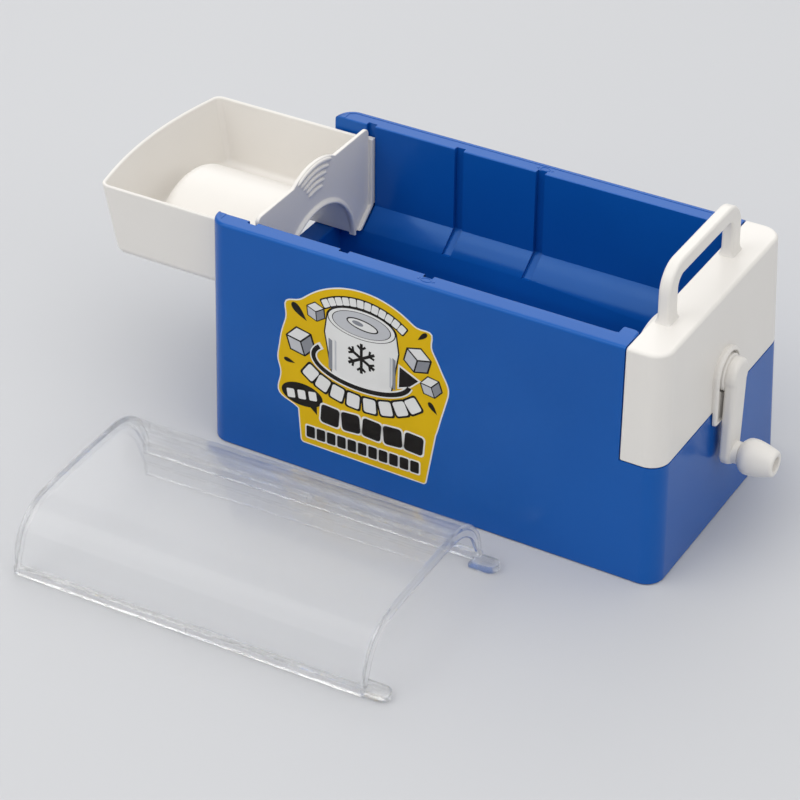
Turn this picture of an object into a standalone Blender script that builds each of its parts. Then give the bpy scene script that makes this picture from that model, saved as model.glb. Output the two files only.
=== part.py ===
"""Hand-cranked rapid drink-can cooler: ice trough, crank drive, divider tray and clear lid.

The trough stands on the table with its footprint's centre at the world origin.
+X points to the crank, -Y to the labelled side and +Z up. Sizes below are in millimetres
and the meshes are written in metres.
"""

import math

import bmesh
import bpy
from mathutils import Matrix, Vector

MM = 0.001
GAP = 0.3                      # clearance kept between neighbouring pieces

# Trough: a one-piece double-wall moulding, open underneath between its two walls
TOP_LENGTH, TOP_WIDTH, HEIGHT = 253.0, 132.0, 130.0
BASE_LENGTH, BASE_WIDTH = 258.2, 142.0
CORNER_RADIUS = 10.0
WALL = 2.6
RIM_INNER_Y = 56.1             # half width of the mouth between the rims
LEDGE_TOP = (54.2, 83.0)       # (y, z) where the side wall turns into the ledge
LEDGE_BOTTOM = (42.2, 74.0)    # (y, z) where the ledge turns into the can channel
CHANNEL_RADIUS = 40.0
CHANNEL_Z = 66.0
TUB_LEFT, TUB_RIGHT = -116.0, 118.0
LOW_WALL_Z = 75.4              # top of the low left end wall
NOTCH_X, NOTCH_Z = 105.5, 67.3  # corner of the recess that the drive unit fills
GROOVE_X = (-104.8, -51.7, -4.2)
GROOVE_WIDTH, GROOVE_DEPTH = 5.3, 2.6
LABEL_X, LABEL_HALF = -36.5, 49.5  # middle and half width of the sticker on the near wall

# Divider and tray, one moulding
CAN_AXIS_Z = 73.0
ARCH_RADIUS = 34.5
PLATE_X = -106.6
PLATE_THICKNESS = 2.2
PLATE_BOTTOM_Z = 74.4
TUNNEL_Z = 75.9                # lower edge of the tunnel under the tray
TRAY_RIM_Z, TRAY_FLOOR_Z = 123.4, 82.5
TRAY_HALF_WIDTH = 54.6
TRAY_LEFT_X = -201.5
TRAY_BOW = 6.0
TRAY_WALL = 2.0

# Drive unit
CRANK_AXIS_Z = 86.0
END_X = TOP_LENGTH / 2
COVER_X = 101.5
COVER_THICKNESS = 2.3
HOLDER_X, HOLDER_RADIUS = 87.5, 30.5  # open end and outside radius of the can holder
RING_TEETH, PINION_TEETH, MODULE = 52, 26, 1.0
BACKLASH = 0.34
CRANK_LENGTH = 43.7
CRANK_TILT = math.radians(-3.3)
SCREW_PLACES = ((-41.0, 116.5), (41.0, 116.5), (-36.6, 80.2), (36.6, 80.2))

# Lid
LID_LENGTH, LID_WIDTH, LID_HEIGHT = 196.0, 118.0, 35.4
LID_WALL = 2.0
LID_FLAT = 29.0                # half width of the lid's nearly flat crown
LID_FOOT = 7.0                 # height of the lid's straight feet
LID_CENTRE = (-51.2, -152.9)
LID_TURN = math.radians(1.65)


# ---------------------------------------------------------------- scene and materials

def clear_scene():
    for item in list(bpy.data.objects):
        bpy.data.objects.remove(item, do_unlink=True)


def make_material(name, colour, roughness, metallic=0.0, transmission=0.0):
    material = bpy.data.materials.new(name)
    material.use_nodes = True
    shader = material.node_tree.nodes["Principled BSDF"]
    shader.inputs["Base Color"].default_value = (*colour, 1.0)
    shader.inputs["Roughness"].default_value = roughness
    shader.inputs["Metallic"].default_value = metallic
    shader.inputs["Transmission Weight"].default_value = transmission
    material.diffuse_color = (*colour, 1.0)
    return material


# ---------------------------------------------------------------- mesh helpers

def finish(name, bm, material=None, origin=(0.0, 0.0, 0.0)):
    """Link a closed bmesh, given in millimetres, as an object with its origin at a point."""
    bmesh.ops.recalc_face_normals(bm, faces=bm.faces)
    shift = Matrix.Translation(-Vector(origin))
    bmesh.ops.transform(bm, matrix=Matrix.Scale(MM, 4) @ shift, verts=bm.verts)
    mesh = bpy.data.meshes.new(name)
    bm.to_mesh(mesh)
    bm.free()
    item = bpy.data.objects.new(name, mesh)
    bpy.context.scene.collection.objects.link(item)
    item.location = Vector(origin) * MM
    if material is None:
        item.hide_render = True
        item.display_type = "WIRE"
    else:
        mesh.materials.append(material)
        mesh.shade_smooth()
        mesh.set_sharp_from_angle(angle=math.radians(30))
    return item


def loft(rings, closed=False):
    """Join rings of equally many points into one closed skin."""
    bm = bmesh.new()
    loops = [[bm.verts.new(point) for point in ring] for ring in rings]
    count = len(loops[0])
    pairs = list(zip(loops, loops[1:]))
    if closed:
        pairs.append((loops[-1], loops[0]))
    for low, high in pairs:
        for i in range(count):
            j = (i + 1) % count
            bm.faces.new((low[i], low[j], high[j], high[i]))
    if not closed:
        bm.faces.new(loops[0])
        bm.faces.new(loops[-1])
    return bm


def prism(outline, x0, x1):
    """Extrude a (y, z) outline along X."""
    return loft([[(x, y, z) for y, z in outline] for x in (x0, x1)])


def slab(outline, z0, z1):
    """Extrude an (x, y) outline along Z."""
    return loft([[(x, y, z) for x, y in outline] for z in (z0, z1)])


def box(x0, x1, y0, y1, z0, z1):
    return prism([(y0, z0), (y1, z0), (y1, z1), (y0, z1)], x0, x1)


def turned(profile, axis_yz, segments=48, ring=True):
    """Turn (x, radius) points about an axis along X; ring=True joins last point to first."""
    cy, cz = axis_yz
    angles = [2 * math.pi * i / segments for i in range(segments)]
    rings = [[(x, cy + r * math.cos(a), cz + r * math.sin(a)) for a in angles] for x, r in profile]
    return loft(rings, closed=ring)


def tube(x0, x1, inner, outer, axis_yz, segments=48):
    return turned([(x0, inner), (x0, outer), (x1, outer), (x1, inner)], axis_yz, segments)


def rod(x0, x1, radius, axis_yz, segments=48):
    return turned([(x0, radius), (x1, radius)], axis_yz, segments, ring=False)


def arc(centre, radius, start, end, steps):
    """Points on an arc in degrees, both ends included."""
    angles = [math.radians(start + (end - start) * i / steps) for i in range(steps + 1)]
    return [(centre[0] + radius * math.cos(a), centre[1] + radius * math.sin(a)) for a in angles]


def rounded_rectangle(half_x, half_y, radius, steps=6, centre=(0.0, 0.0)):
    points = []
    for sx, sy, start in ((1, 1, 0), (-1, 1, 90), (-1, -1, 180), (1, -1, 270)):
        corner = (centre[0] + sx * (half_x - radius), centre[1] + sy * (half_y - radius))
        points += arc(corner, radius, start, start + 90, steps)
    return points


def boolean(target, cutter, operation="DIFFERENCE"):
    modifier = target.modifiers.new(cutter.name, "BOOLEAN")
    modifier.operation = operation
    modifier.solver = "EXACT"
    modifier.object = cutter
    cutter.parent = target
    cutter.matrix_parent_inverse = target.matrix_basis.inverted()


def cut(target, *solids):
    for index, bm in enumerate(solids):
        boolean(target, finish(f"cut_{target.name}_{len(target.modifiers)}_{index}", bm))


def add(target, *solids):
    for index, bm in enumerate(solids):
        cutter = finish(f"add_{target.name}_{len(target.modifiers)}_{index}", bm)
        boolean(target, cutter, "UNION")


# ---------------------------------------------------------------- trough

def skirt(inset, z0, z1):
    """The tapered outer form of the trough, moved in by inset, between two heights."""
    rings = []
    for z in (z0, z1):
        share = 1 - z / HEIGHT
        half_x = (TOP_LENGTH + (BASE_LENGTH - TOP_LENGTH) * share) / 2 - inset
        half_y = (TOP_WIDTH + (BASE_WIDTH - TOP_WIDTH) * share) / 2 - inset
        radius = CORNER_RADIUS - inset * 0.6
        rings.append([(x, y, z) for x, y in rounded_rectangle(half_x, half_y, radius)])
    return loft(rings)


def skirt_half_width(z):
    return (TOP_WIDTH + (BASE_WIDTH - TOP_WIDTH) * (1 - z / HEIGHT)) / 2


def tub_outline(offset, top):
    """Section of the ice space, grown by offset: side wall, slanted ledge, round channel."""
    side = [(RIM_INNER_Y + offset, top)]
    side.append((LEDGE_TOP[0] + offset, LEDGE_TOP[1] - 0.35 * offset))
    side.append((LEDGE_BOTTOM[0] + offset, LEDGE_BOTTOM[1] - 0.8 * offset))
    bottom = arc((0.0, CHANNEL_Z), CHANNEL_RADIUS + offset, 0, -180, 20)
    mirrored = [(-y, z) for y, z in reversed(side)]
    return side + bottom + mirrored


def upper_outline(offset, bottom, top):
    """The part of that section above a height on the ledge."""
    share = (bottom - LEDGE_BOTTOM[1]) / (LEDGE_TOP[1] - LEDGE_BOTTOM[1])
    ledge_y = LEDGE_BOTTOM[0] + (LEDGE_TOP[0] - LEDGE_BOTTOM[0]) * share
    side = [(RIM_INNER_Y + offset, top), (LEDGE_TOP[0] + offset, LEDGE_TOP[1]), (ledge_y + offset, bottom)]
    return side + [(-y, z) for y, z in reversed(side)]


def groove_outline(depth, top):
    side = [(RIM_INNER_Y + depth, top), (LEDGE_TOP[0] + depth, LEDGE_TOP[1] - 0.9)]
    side += [(LEDGE_BOTTOM[0] + 0.6 * depth, LEDGE_BOTTOM[1] - 0.9), (LEDGE_BOTTOM[0] - 6.0, LEDGE_BOTTOM[1])]
    return side + [(-y, z) for y, z in reversed(side)]


def build_wall_hollow():
    """The space between the two walls, open underneath; the trough is cut with it."""
    hollow = finish("cut_wall_hollow", skirt(WALL, -1.0, HEIGHT - WALL))
    cut(hollow, prism(tub_outline(WALL, HEIGHT), TUB_LEFT - WALL, TUB_RIGHT + WALL))
    for x in GROOVE_X:
        half = GROOVE_WIDTH / 2 + WALL
        cut(hollow, prism(groove_outline(GROOVE_DEPTH + 2.0, HEIGHT), x - half, x + half))
    cut(hollow, prism(upper_outline(WALL, LOW_WALL_Z - WALL, HEIGHT), -140.0, TUB_LEFT))
    cut(hollow, box(NOTCH_X - WALL, 140.0, -80.0, 80.0, NOTCH_Z - WALL, HEIGHT))
    for x in (-70.0, 0.0, 70.0):
        cut(hollow, box(x - 1.5, x + 1.5, -34.0, 34.0, -2.0, 45.0))
    return hollow


def build_trough(blue):
    trough = finish("trough_body", skirt(0.0, 0.0, HEIGHT), blue)
    boolean(trough, build_wall_hollow())
    cut(trough, prism(tub_outline(0.0, HEIGHT + 5), TUB_LEFT, TUB_RIGHT))
    cut(trough, prism(upper_outline(0.0, LOW_WALL_Z, HEIGHT + 5), -140.0, TUB_LEFT + 1))
    cut(trough, box(NOTCH_X, 140.0, -80.0, 80.0, NOTCH_Z, HEIGHT + 5))
    for x in GROOVE_X:
        half = GROOVE_WIDTH / 2
        cut(trough, prism(groove_outline(GROOVE_DEPTH, HEIGHT + 5), x - half, x + half))
    for side in (-1, 1):
        edge = side * RIM_INNER_Y
        tab = [(97.0, edge + side), (97.0, edge - side * 6.5), (103.2, edge - side * 6.5)]
        tab += [(NOTCH_X, edge - side * 4.2), (NOTCH_X, edge + side)]
        add(trough, slab(tab, HEIGHT - 2.6, HEIGHT))
    return trough


# ---------------------------------------------------------------- front sticker

def build_label(yellow):
    """Die-cut sticker that lies on the near wall, so it leans with the wall's draft."""
    outline = []
    for i in range(23):
        angle = math.radians(-20 + 10 * i)
        outline.append((LABEL_X + LABEL_HALF * math.cos(angle), 68.0 + 51.0 * math.sin(angle)))
    outline += arc((LABEL_X - 33.5, 20.5), 4.0, 190, 270, 4) + arc((LABEL_X + 33.5, 20.5), 4.0, 270, 350, 4)
    rings = []
    for lift in (GAP, GAP + 0.4):
        rings.append([(x, -skirt_half_width(z) - lift, z) for x, z in outline])
    return finish("front_label", loft(rings), yellow)


# ---------------------------------------------------------------- divider and tray

def tray_outline(inset, left, bow, right):
    """Plan of the tray: straight sides and a left end that bulges outwards."""
    half = TRAY_HALF_WIDTH - inset
    radius = 5.0
    end = []
    for i in range(13):
        y = (half - radius) * (1 - i / 6)
        end.append((left - bow * (1 - (y / (half - radius)) ** 2), y))
    points = [(right, half)] + arc((left + radius, half - radius), radius, 90, 165, 3) + end[1:-1]
    return points + arc((left + radius, -(half - radius)), radius, 195, 270, 3) + [(right, -half)]


def tray_form(inset, z0, z1, right):
    rings = []
    for z in (z0, z1):
        share = (TRAY_RIM_Z - z) / (TRAY_RIM_Z - TRAY_FLOOR_Z)
        left = TRAY_LEFT_X + inset + 6.5 * share
        ring = tray_outline(inset + 1.4 * share, left, TRAY_BOW, right)
        rings.append([(x, y, z) for x, y in ring])
    return loft(rings)


def arch_outline(radius, bottom):
    """Round arch about the can axis whose legs end at a height."""
    start = math.degrees(math.asin(max(bottom - CAN_AXIS_Z, 0.0) / radius))
    points = arc((0.0, CAN_AXIS_Z), radius, start, 180 - start, 24)
    if bottom < CAN_AXIS_Z:
        points += [(-radius, bottom), (radius, bottom)]
    return points


def tunnel(radius, left, right, bottom):
    """Arched tunnel along the can axis with a domed left end."""
    depth = radius * 0.42
    rings = []
    for i in range(7):
        angle = math.radians(15 * i)
        shrink = 1 - 0.8 * (1 - math.sin(angle))
        ring = arch_outline(radius * shrink, bottom)
        rings.append([(left + depth * (1 - math.cos(math.pi / 2 - angle)), y, z) for y, z in ring])
    rings.append([(right, y, z) for y, z in arch_outline(radius, bottom)])
    return loft(rings)


def plate_outline():
    """Divider plate: flat shoulders, a raised thumb arc and sides that follow the trough."""
    top = HEIGHT
    side = [(19.8, top), (51.0, top), (53.0, top - 3), (52.9, 84.0), (40.6, 74.9)]
    bump = [(y, z) for y, z in arc((0.0, top - 34.0), 39.4, 59.8, 120.2, 10)]
    right = [(y, z) for y, z in reversed(side)]
    left = [(-y, z) for y, z in side]
    return right + bump[1:-1] + left + [(-38.0, PLATE_BOTTOM_Z - 2), (38.0, PLATE_BOTTOM_Z - 2)]


def flange_outline(side):
    """Edge flange of the divider, a strip along the trough's inner wall and ledge."""
    outer = [(55.2, HEIGHT - 7.0), (53.3, 83.6), (41.5, 74.7)]
    inner = [(39.2, 74.9), (51.3, 84.6), (53.0, HEIGHT - 7.0)]
    return [(side * y, z) for y, z in outer + inner]


def key_outline(side):
    """The key that slides down a groove in the trough's wall."""
    points = [(53.5, 122.8), (57.9, 122.8), (56.2, 84.0), (53.0, 84.0)]
    return [(side * y, z) for y, z in points]


def build_tray(white):
    face = PLATE_X + PLATE_THICKNESS
    tray = finish("divider_tray", tray_form(0.0, TRAY_FLOOR_Z, TRAY_RIM_Z, PLATE_X + 0.5), white)
    cut(tray, tray_form(TRAY_WALL, TRAY_FLOOR_Z + TRAY_WALL, TRAY_RIM_Z + 1, PLATE_X + 1.0))
    far_end = TRAY_LEFT_X + 9.0
    add(tray, tunnel(ARCH_RADIUS + 2.2, far_end, PLATE_X + 0.7, TUNNEL_Z))
    add(tray, prism(plate_outline(), PLATE_X, face))
    add(tray, prism(arch_outline(ARCH_RADIUS + 2.4, PLATE_BOTTOM_Z - 1), PLATE_X + 0.9, face + 1.6))
    for side in (-1, 1):
        add(tray, prism(flange_outline(side), PLATE_X + 0.3, PLATE_X + 4.2))
        add(tray, prism(key_outline(side), PLATE_X - 0.25, PLATE_X + 4.0))
    for i in range(5):
        radius = 35.6 - 3.6 * i
        spread = 24.0 - 2.2 * i
        ridge = arc((0.0, HEIGHT - 34.0), radius + 1.3, 90 - spread, 90 + spread, 8)
        ridge += arc((0.0, HEIGHT - 34.0), radius, 90 + spread, 90 - spread, 8)
        add(tray, prism(ridge, PLATE_X + 1.1, face + 0.9))
    cut(tray, tunnel(ARCH_RADIUS, far_end + 2.2, PLATE_X + 8.0, 60.0))
    cut(tray, box(PLATE_X - 0.1, PLATE_X + 9.0, -80.0, 80.0, 60.0, PLATE_BOTTOM_Z))
    return tray


# ---------------------------------------------------------------- lid

def lid_section(inset, lift):
    """Arch section: straight feet, quarter-ellipse shoulders, nearly flat crown."""
    half = LID_WIDTH / 2 - inset
    crown = LID_HEIGHT - inset
    flat, foot = LID_FLAT, LID_FOOT
    points = [(half, lift), (half, foot)]
    for i in range(1, 8):
        angle = math.radians(90 * i / 8)
        points.append((flat + (half - flat) * math.cos(angle), foot + (crown - 0.6 - foot) * math.sin(angle)))
    points += [(flat * (1 - i / 3), crown - 0.6 + 0.6 * (1 - (1 - i / 3) ** 2)) for i in range(4)]
    return points + [(-y, z) for y, z in reversed(points[:-1])]


def build_lid(clear):
    half_length = LID_LENGTH / 2
    lid = finish("clear_lid", prism(lid_section(0.0, 0.4), -half_length, half_length), clear)
    cut(lid, prism(lid_section(LID_WALL, -1.0), -half_length + LID_WALL, half_length - LID_WALL))
    cut(lid, prism(lid_section(LID_WALL + 4.6, -1.0), -half_length - 1, half_length + 1))
    for side in (-1, 1):
        edge = side * LID_WIDTH / 2
        add(lid, box(-half_length + 0.3, half_length - 0.3, edge - side * 3.4, edge + side * 0.5, 0.0, 5.6))
        add(lid, box(-1.6, 1.6, edge - side * 2.0, edge + side * 1.3, 1.2, 5.0))
        tab = [(half_length - 3, edge - side * 9.6), (half_length + 7, edge - side * 9.6)]
        tab += [(half_length + 10.6, edge - side * 7.0), (half_length + 11.6, edge - side * 4.0)]
        tab += [(half_length + 9.6, edge - side * 1.0), (half_length + 6, edge - side * 0.3)]
        tab += [(half_length - 3, edge - side * 0.3)]
        add(lid, slab(tab, 0.2, 4.4))
    lid.location = Vector((*LID_CENTRE, 0.0)) * MM
    lid.rotation_euler.z = LID_TURN
    return lid


# ---------------------------------------------------------------- drive unit housing

def rounded_path(points, radius, steps=5):
    """Round the inner corners of an open (y, z) path."""
    path = [points[0]]
    for before, corner, after in zip(points, points[1:], points[2:]):
        start = Vector(corner) + (Vector(before) - Vector(corner)).normalized() * radius
        end = Vector(corner) + (Vector(after) - Vector(corner)).normalized() * radius
        for i in range(steps + 1):
            t = i / steps
            point = (1 - t) ** 2 * start + 2 * t * (1 - t) * Vector(corner) + t * t * end
            path.append((point.x, point.y))
    return path + [points[-1]]


def handle_outline():
    """Carry handle: an upright loop with a finger gap, standing on the housing's top."""
    outer = [(-39.6, HEIGHT - 2), (-39.6, 159.4), (39.6, 159.4), (39.6, HEIGHT - 2)]
    inner = [(29.8, HEIGHT - 2), (29.8, 151.0), (-29.8, 151.0), (-29.8, HEIGHT - 2)]
    return rounded_path(outer, 13.0) + rounded_path(inner, 6.5)


def boss_outline(radius, bottom):
    """Arched boss round the crank, with a tongue that hangs below the housing."""
    return arc((0.0, CRANK_AXIS_Z), radius, 0, 180, 16) + [(-radius, bottom), (radius, bottom)]


def drop_case_outline(offset):
    """Lower gear case that hangs inside the trough."""
    half = 31.8 + offset
    bottom = 55.0 - offset
    return [(half, 75.0), (half, 66.0), (half - 9, bottom), (-half + 9, bottom), (-half, 66.0), (-half, 75.0)]


def build_housing(white):
    half_space = box(NOTCH_X + GAP, 140.0, -80.0, 80.0, NOTCH_Z + GAP, HEIGHT + 1)
    housing = finish("gear_housing", skirt(0.0, 0.0, HEIGHT), white)
    boolean(housing, finish("keep_housing", half_space), "INTERSECT")
    add(housing, prism(drop_case_outline(2.0), NOTCH_X + GAP, 117.5))
    add(housing, prism(boss_outline(13.0, 60.3), END_X + 1.9, END_X + 4.0))
    add(housing, prism(boss_outline(12.8, 68.6), END_X - 1.0, END_X + 2.5))
    gear_room = [(-45.0, 119.5), (-45.0, 72.0), (45.0, 72.0), (45.0, 119.5)]
    cut(housing, prism(gear_room, NOTCH_X - 1, END_X - 2.6))
    cut(housing, prism(drop_case_outline(0.0), NOTCH_X - 1, 115.5))
    for side in (-1, 1):
        cut(housing, box(108.6, END_X - 3.6, side * 47.4, side * 61.4, NOTCH_Z - 1, HEIGHT - 2.6))
    cut(housing, prism(boss_outline(10.9, 62.0), END_X + 2.8, END_X + 6.0))
    cut(housing, rod(END_X + 1.2, END_X + 3.5, 10.7, (0.0, CRANK_AXIS_Z)))
    add(housing, rod(END_X - 6.0, END_X - 1.8, 9.1, (0.0, CRANK_AXIS_Z)))
    cut(housing, rod(END_X - 7.0, END_X + 2.0, 7.1, (0.0, CRANK_AXIS_Z)))
    add(housing, prism(handle_outline(), 108.4, 114.8))
    for y, z in SCREW_PLACES:
        add(housing, rod(NOTCH_X + GAP, END_X - 2.0, 3.6, (y, z), 20))
        cut(housing, rod(NOTCH_X - 1, NOTCH_X + 10.5, 1.7, (y, z), 16))
    return housing


def cover_outline(offset):
    """Inner cover: closes the gear room and hangs into the can channel."""
    side = [(47.0 + offset, 121.5), (47.0 + offset, 84.0), (38.0 + offset, 75.5), (34.5 + offset, 66.0)]
    side += [(25.5 + offset, 51.8)]
    return side + [(-y, z) for y, z in reversed(side)]


def build_cover(white):
    inner = COVER_X + COVER_THICKNESS
    axis = (0.0, CAN_AXIS_Z)
    cover = finish("inner_cover", prism(cover_outline(0.0), COVER_X, inner), white)
    add(cover, rod(COVER_X - 1.9, inner + 2.5, 10.2, axis))
    cut(cover, rod(COVER_X - 4.0, COVER_X + 0.4, 8.2, axis))
    cut(cover, rod(COVER_X - 4.0, inner + 4.0, 7.1, axis))
    for y, z in SCREW_PLACES:
        cut(cover, rod(COVER_X - 1, inner + 1, 1.9, (y, z), 16))
        cut(cover, rod(COVER_X - 1, COVER_X + 0.9, 3.4, (y, z), 20))
    return cover


def build_gasket(rubber):
    """Flat seal between the cover and the housing."""
    x0 = COVER_X + COVER_THICKNESS + GAP
    x1 = NOTCH_X
    gasket = finish("cover_gasket", prism(cover_outline(-0.6), x0, x1), rubber)
    window = [(33.0, 112.8), (33.0, 79.0), (30.6, 66.0), (22.6, 55.8)]
    window += [(-y, z) for y, z in reversed(window)]
    cut(gasket, prism(window, x0 - 1, x1 + 1))
    for y, z in SCREW_PLACES:
        cut(gasket, rod(x0 - 1, x1 + 1, 2.2, (y, z), 16))
    return gasket


def build_cover_screws(steel):
    """Four self-tapping screws with countersunk heads in the cover."""
    x = COVER_X + 0.9 - GAP
    profile = [(x - 1.5, 2.4), (x - 1.0, 3.0), (x, 3.0), (x, 1.4), (x + 8.5, 1.4), (x + 9.6, 0.5)]
    for index, (y, z) in enumerate(SCREW_PLACES, start=1):
        finish(f"cover_screw_{index}", turned(profile, (y, z), 16, ring=False), steel, (x, y, z))


# ---------------------------------------------------------------- gears, shafts and seals

def gear_outline(teeth, tip, root, thickness, axis_yz, start):
    """Trapezoid teeth of a given thickness at the pitch circle, one centred at start."""
    pitch = teeth * MODULE / 2
    slope = math.tan(math.radians(20))
    points = []
    for i in range(teeth):
        middle = start + 2 * math.pi * i / teeth
        for radius, sign in ((root, -1), (tip, -1), (tip, 1), (root, 1)):
            half = thickness / 2 - (radius - pitch) * slope
            angle = middle + sign * half / radius
            points.append((axis_yz[0] + radius * math.cos(angle), axis_yz[1] + radius * math.sin(angle)))
    return points


def build_ring_gear(acetal):
    """Cup-shaped gear with inward teeth, keyed on the crank's square shaft end."""
    axis = (0.0, CRANK_AXIS_Z)
    pitch = RING_TEETH * MODULE / 2
    gear = finish("ring_gear", rod(107.0, 114.8, 29.8, axis, 72), acetal, (107.0, *axis))
    space = math.pi * MODULE / 2 + BACKLASH / 2
    hollow = gear_outline(RING_TEETH, pitch + 1.1, pitch - 0.8, space, axis, -math.pi / 2)
    cut(gear, prism(hollow, 106.0, 112.8))
    add(gear, rod(113.5, 118.8, 7.2, axis, 32))
    cut(gear, rod(112.0, 115.6, 4.8, axis, 24))
    cut(gear, prism(rounded_rectangle(3.5, 3.5, 0.6, 2, axis), 116.4, 121.0))
    cut(gear, rod(115.0, 117.0, 2.0, axis, 24))
    return gear


def build_pinion(acetal):
    """Small gear with its own shaft; the can holder is screwed to the shaft's end."""
    axis = (0.0, CAN_AXIS_Z)
    pitch = PINION_TEETH * MODULE / 2
    thickness = math.pi * MODULE / 2 - BACKLASH / 2
    outline = gear_outline(PINION_TEETH, pitch + 0.8, pitch - 1.1, thickness, axis, -math.pi / 2)
    pinion = finish("output_pinion", prism(outline, 107.2, 112.2), acetal, (107.2, *axis))
    add(pinion, rod(97.6, 110.0, 4.9, axis, 32))
    cut(pinion, rod(96.0, 107.0, 1.7, axis, 16))
    return pinion


def build_bearings(acetal, rubber):
    can_axis = (0.0, CAN_AXIS_Z)
    crank_axis = (0.0, CRANK_AXIS_Z)
    profile = [(END_X - 7.4, 5.3), (END_X - 7.4, 8.8), (END_X - 6.3, 8.8), (END_X - 6.3, 6.8)]
    profile += [(END_X + 0.9, 6.8), (END_X + 0.9, 5.3)]
    finish("crank_bush", turned(profile, crank_axis, 40), acetal)
    finish("output_bush", tube(COVER_X + 0.9, 106.6, 5.2, 6.8, can_axis, 40), acetal)
    seal = [(COVER_X - 1.6, 5.2), (COVER_X - 1.6, 7.9), (COVER_X + 0.1, 7.9), (COVER_X + 0.1, 5.2)]
    finish("shaft_seal", turned(seal, can_axis, 40), rubber)


def build_can_holder(white):
    """Cup that grips the tapered bottom of the can and turns it."""
    axis = (0.0, CAN_AXIS_Z)
    holder = finish("can_holder", rod(HOLDER_X, 98.0, HOLDER_RADIUS, axis, 64), white, (98.0, *axis))
    cut(holder, rod(HOLDER_X - 1.5, 96.0, HOLDER_RADIUS - 2.0, axis, 64))
    add(holder, rod(96.6, 99.2, 8.0, axis, 32))
    cut(holder, rod(97.3, 100.0, 5.2, axis, 32))
    cut(holder, rod(94.0, 100.0, 1.9, axis, 16))
    return holder


def build_grip(rubber):
    """Soft liner of the cup: a disc with a wall and inward grip ribs."""
    axis = (0.0, CAN_AXIS_Z)
    outer = HOLDER_RADIUS - 2.0 - GAP
    grip = finish("can_grip", rod(HOLDER_X + 0.7, 95.7, outer, axis, 64), rubber, (95.7, *axis))
    cut(grip, rod(HOLDER_X - 0.5, 94.0, outer - 1.3, axis, 64))
    cut(grip, rod(93.0, 97.0, 5.0, axis, 24))
    for i in range(8):
        angle = 2 * math.pi * i / 8
        y = (outer - 1.5) * math.cos(angle)
        z = CAN_AXIS_Z + (outer - 1.5) * math.sin(angle)
        add(grip, rod(HOLDER_X + 1.6, 94.6, 1.1, (y, z), 10))
    return grip


def build_small_screws(steel):
    """Screws that fix the gear to the crank and the holder to the pinion, with washers."""
    crank_axis = (0.0, CRANK_AXIS_Z)
    can_axis = (0.0, CAN_AXIS_Z)
    profile = [(112.9, 2.4), (113.3, 3.0), (114.5, 3.0), (114.5, 1.4), (122.0, 1.4), (123.0, 0.4)]
    finish("crank_screw", turned(profile, crank_axis, 20, ring=False), steel, (114.5, *crank_axis))
    finish("crank_washer", tube(114.8, 115.3, 1.7, 4.4, crank_axis, 24), steel, (114.8, *crank_axis))
    profile = [(93.1, 2.4), (93.5, 3.0), (94.9, 3.0), (94.9, 1.4), (105.0, 1.4), (106.0, 0.4)]
    finish("holder_screw", turned(profile, can_axis, 20, ring=False), steel, (94.9, *can_axis))
    finish("holder_washer", tube(95.2, 95.7, 1.7, 4.4, can_axis, 24), steel, (95.2, *can_axis))


# ---------------------------------------------------------------- crank

def arm_outline():
    """Straight arm with a round hub end and a round knob end, hanging from the axis."""
    hub = arc((0.0, 0.0), 8.8, -38, 218, 16)
    end = arc((0.0, -CRANK_LENGTH), 7.0, 190, 350, 12)
    return hub + end


def build_crank(white):
    axis = (0.0, CRANK_AXIS_Z)
    arm = [(y, CRANK_AXIS_Z + z) for y, z in arm_outline()]
    crank = finish("crank_arm", prism(arm, END_X + 4.5, END_X + 10.5), white, (END_X, *axis))
    add(crank, rod(END_X + 1.6, END_X + 5.0, 9.6, axis, 40))
    add(crank, rod(119.9, END_X + 2.0, 5.0, axis, 32))
    add(crank, prism(rounded_rectangle(3.2, 3.2, 0.5, 2, axis), 116.8, 121.0))
    cut(crank, rod(115.0, 124.5, 1.7, axis, 16))
    knob_axis = (0.0, CRANK_AXIS_Z - CRANK_LENGTH)
    add(crank, rod(END_X + 10.0, END_X + 13.6, 5.6, knob_axis, 32))
    cut(crank, rod(END_X + 7.0, END_X + 15.0, 1.9, knob_axis, 20))
    crank.rotation_euler.x = CRANK_TILT
    return crank


def build_knob(white, steel, crank):
    knob_axis = (0.0, CRANK_AXIS_Z - CRANK_LENGTH)
    x = END_X + 13.9
    profile = [(x, 2.4), (x, 6.2), (x + 0.8, 7.2), (x + 3.6, 9.3), (x + 8.0, 9.2), (x + 12.5, 8.2)]
    profile += [(x + 17.6, 6.8), (x + 18.6, 6.0), (x + 18.6, 4.0), (x + 12.4, 3.9), (x + 12.4, 2.4)]
    knob = finish("crank_knob", turned(profile, knob_axis, 40), white, (x, *knob_axis))
    pin = [(x + 14.4, 2.2), (x + 14.0, 3.3), (x + 12.7, 3.3), (x + 12.7, 2.1), (x - 0.1, 2.1)]
    pin += [(x - 0.1, 1.6), (x - 6.0, 1.6)]
    rivet = finish("knob_pin", turned(pin, knob_axis, 24, ring=False), steel, (x, *knob_axis))
    for item in (knob, rivet):
        item.parent = crank
        item.location = item.location - crank.location


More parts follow.
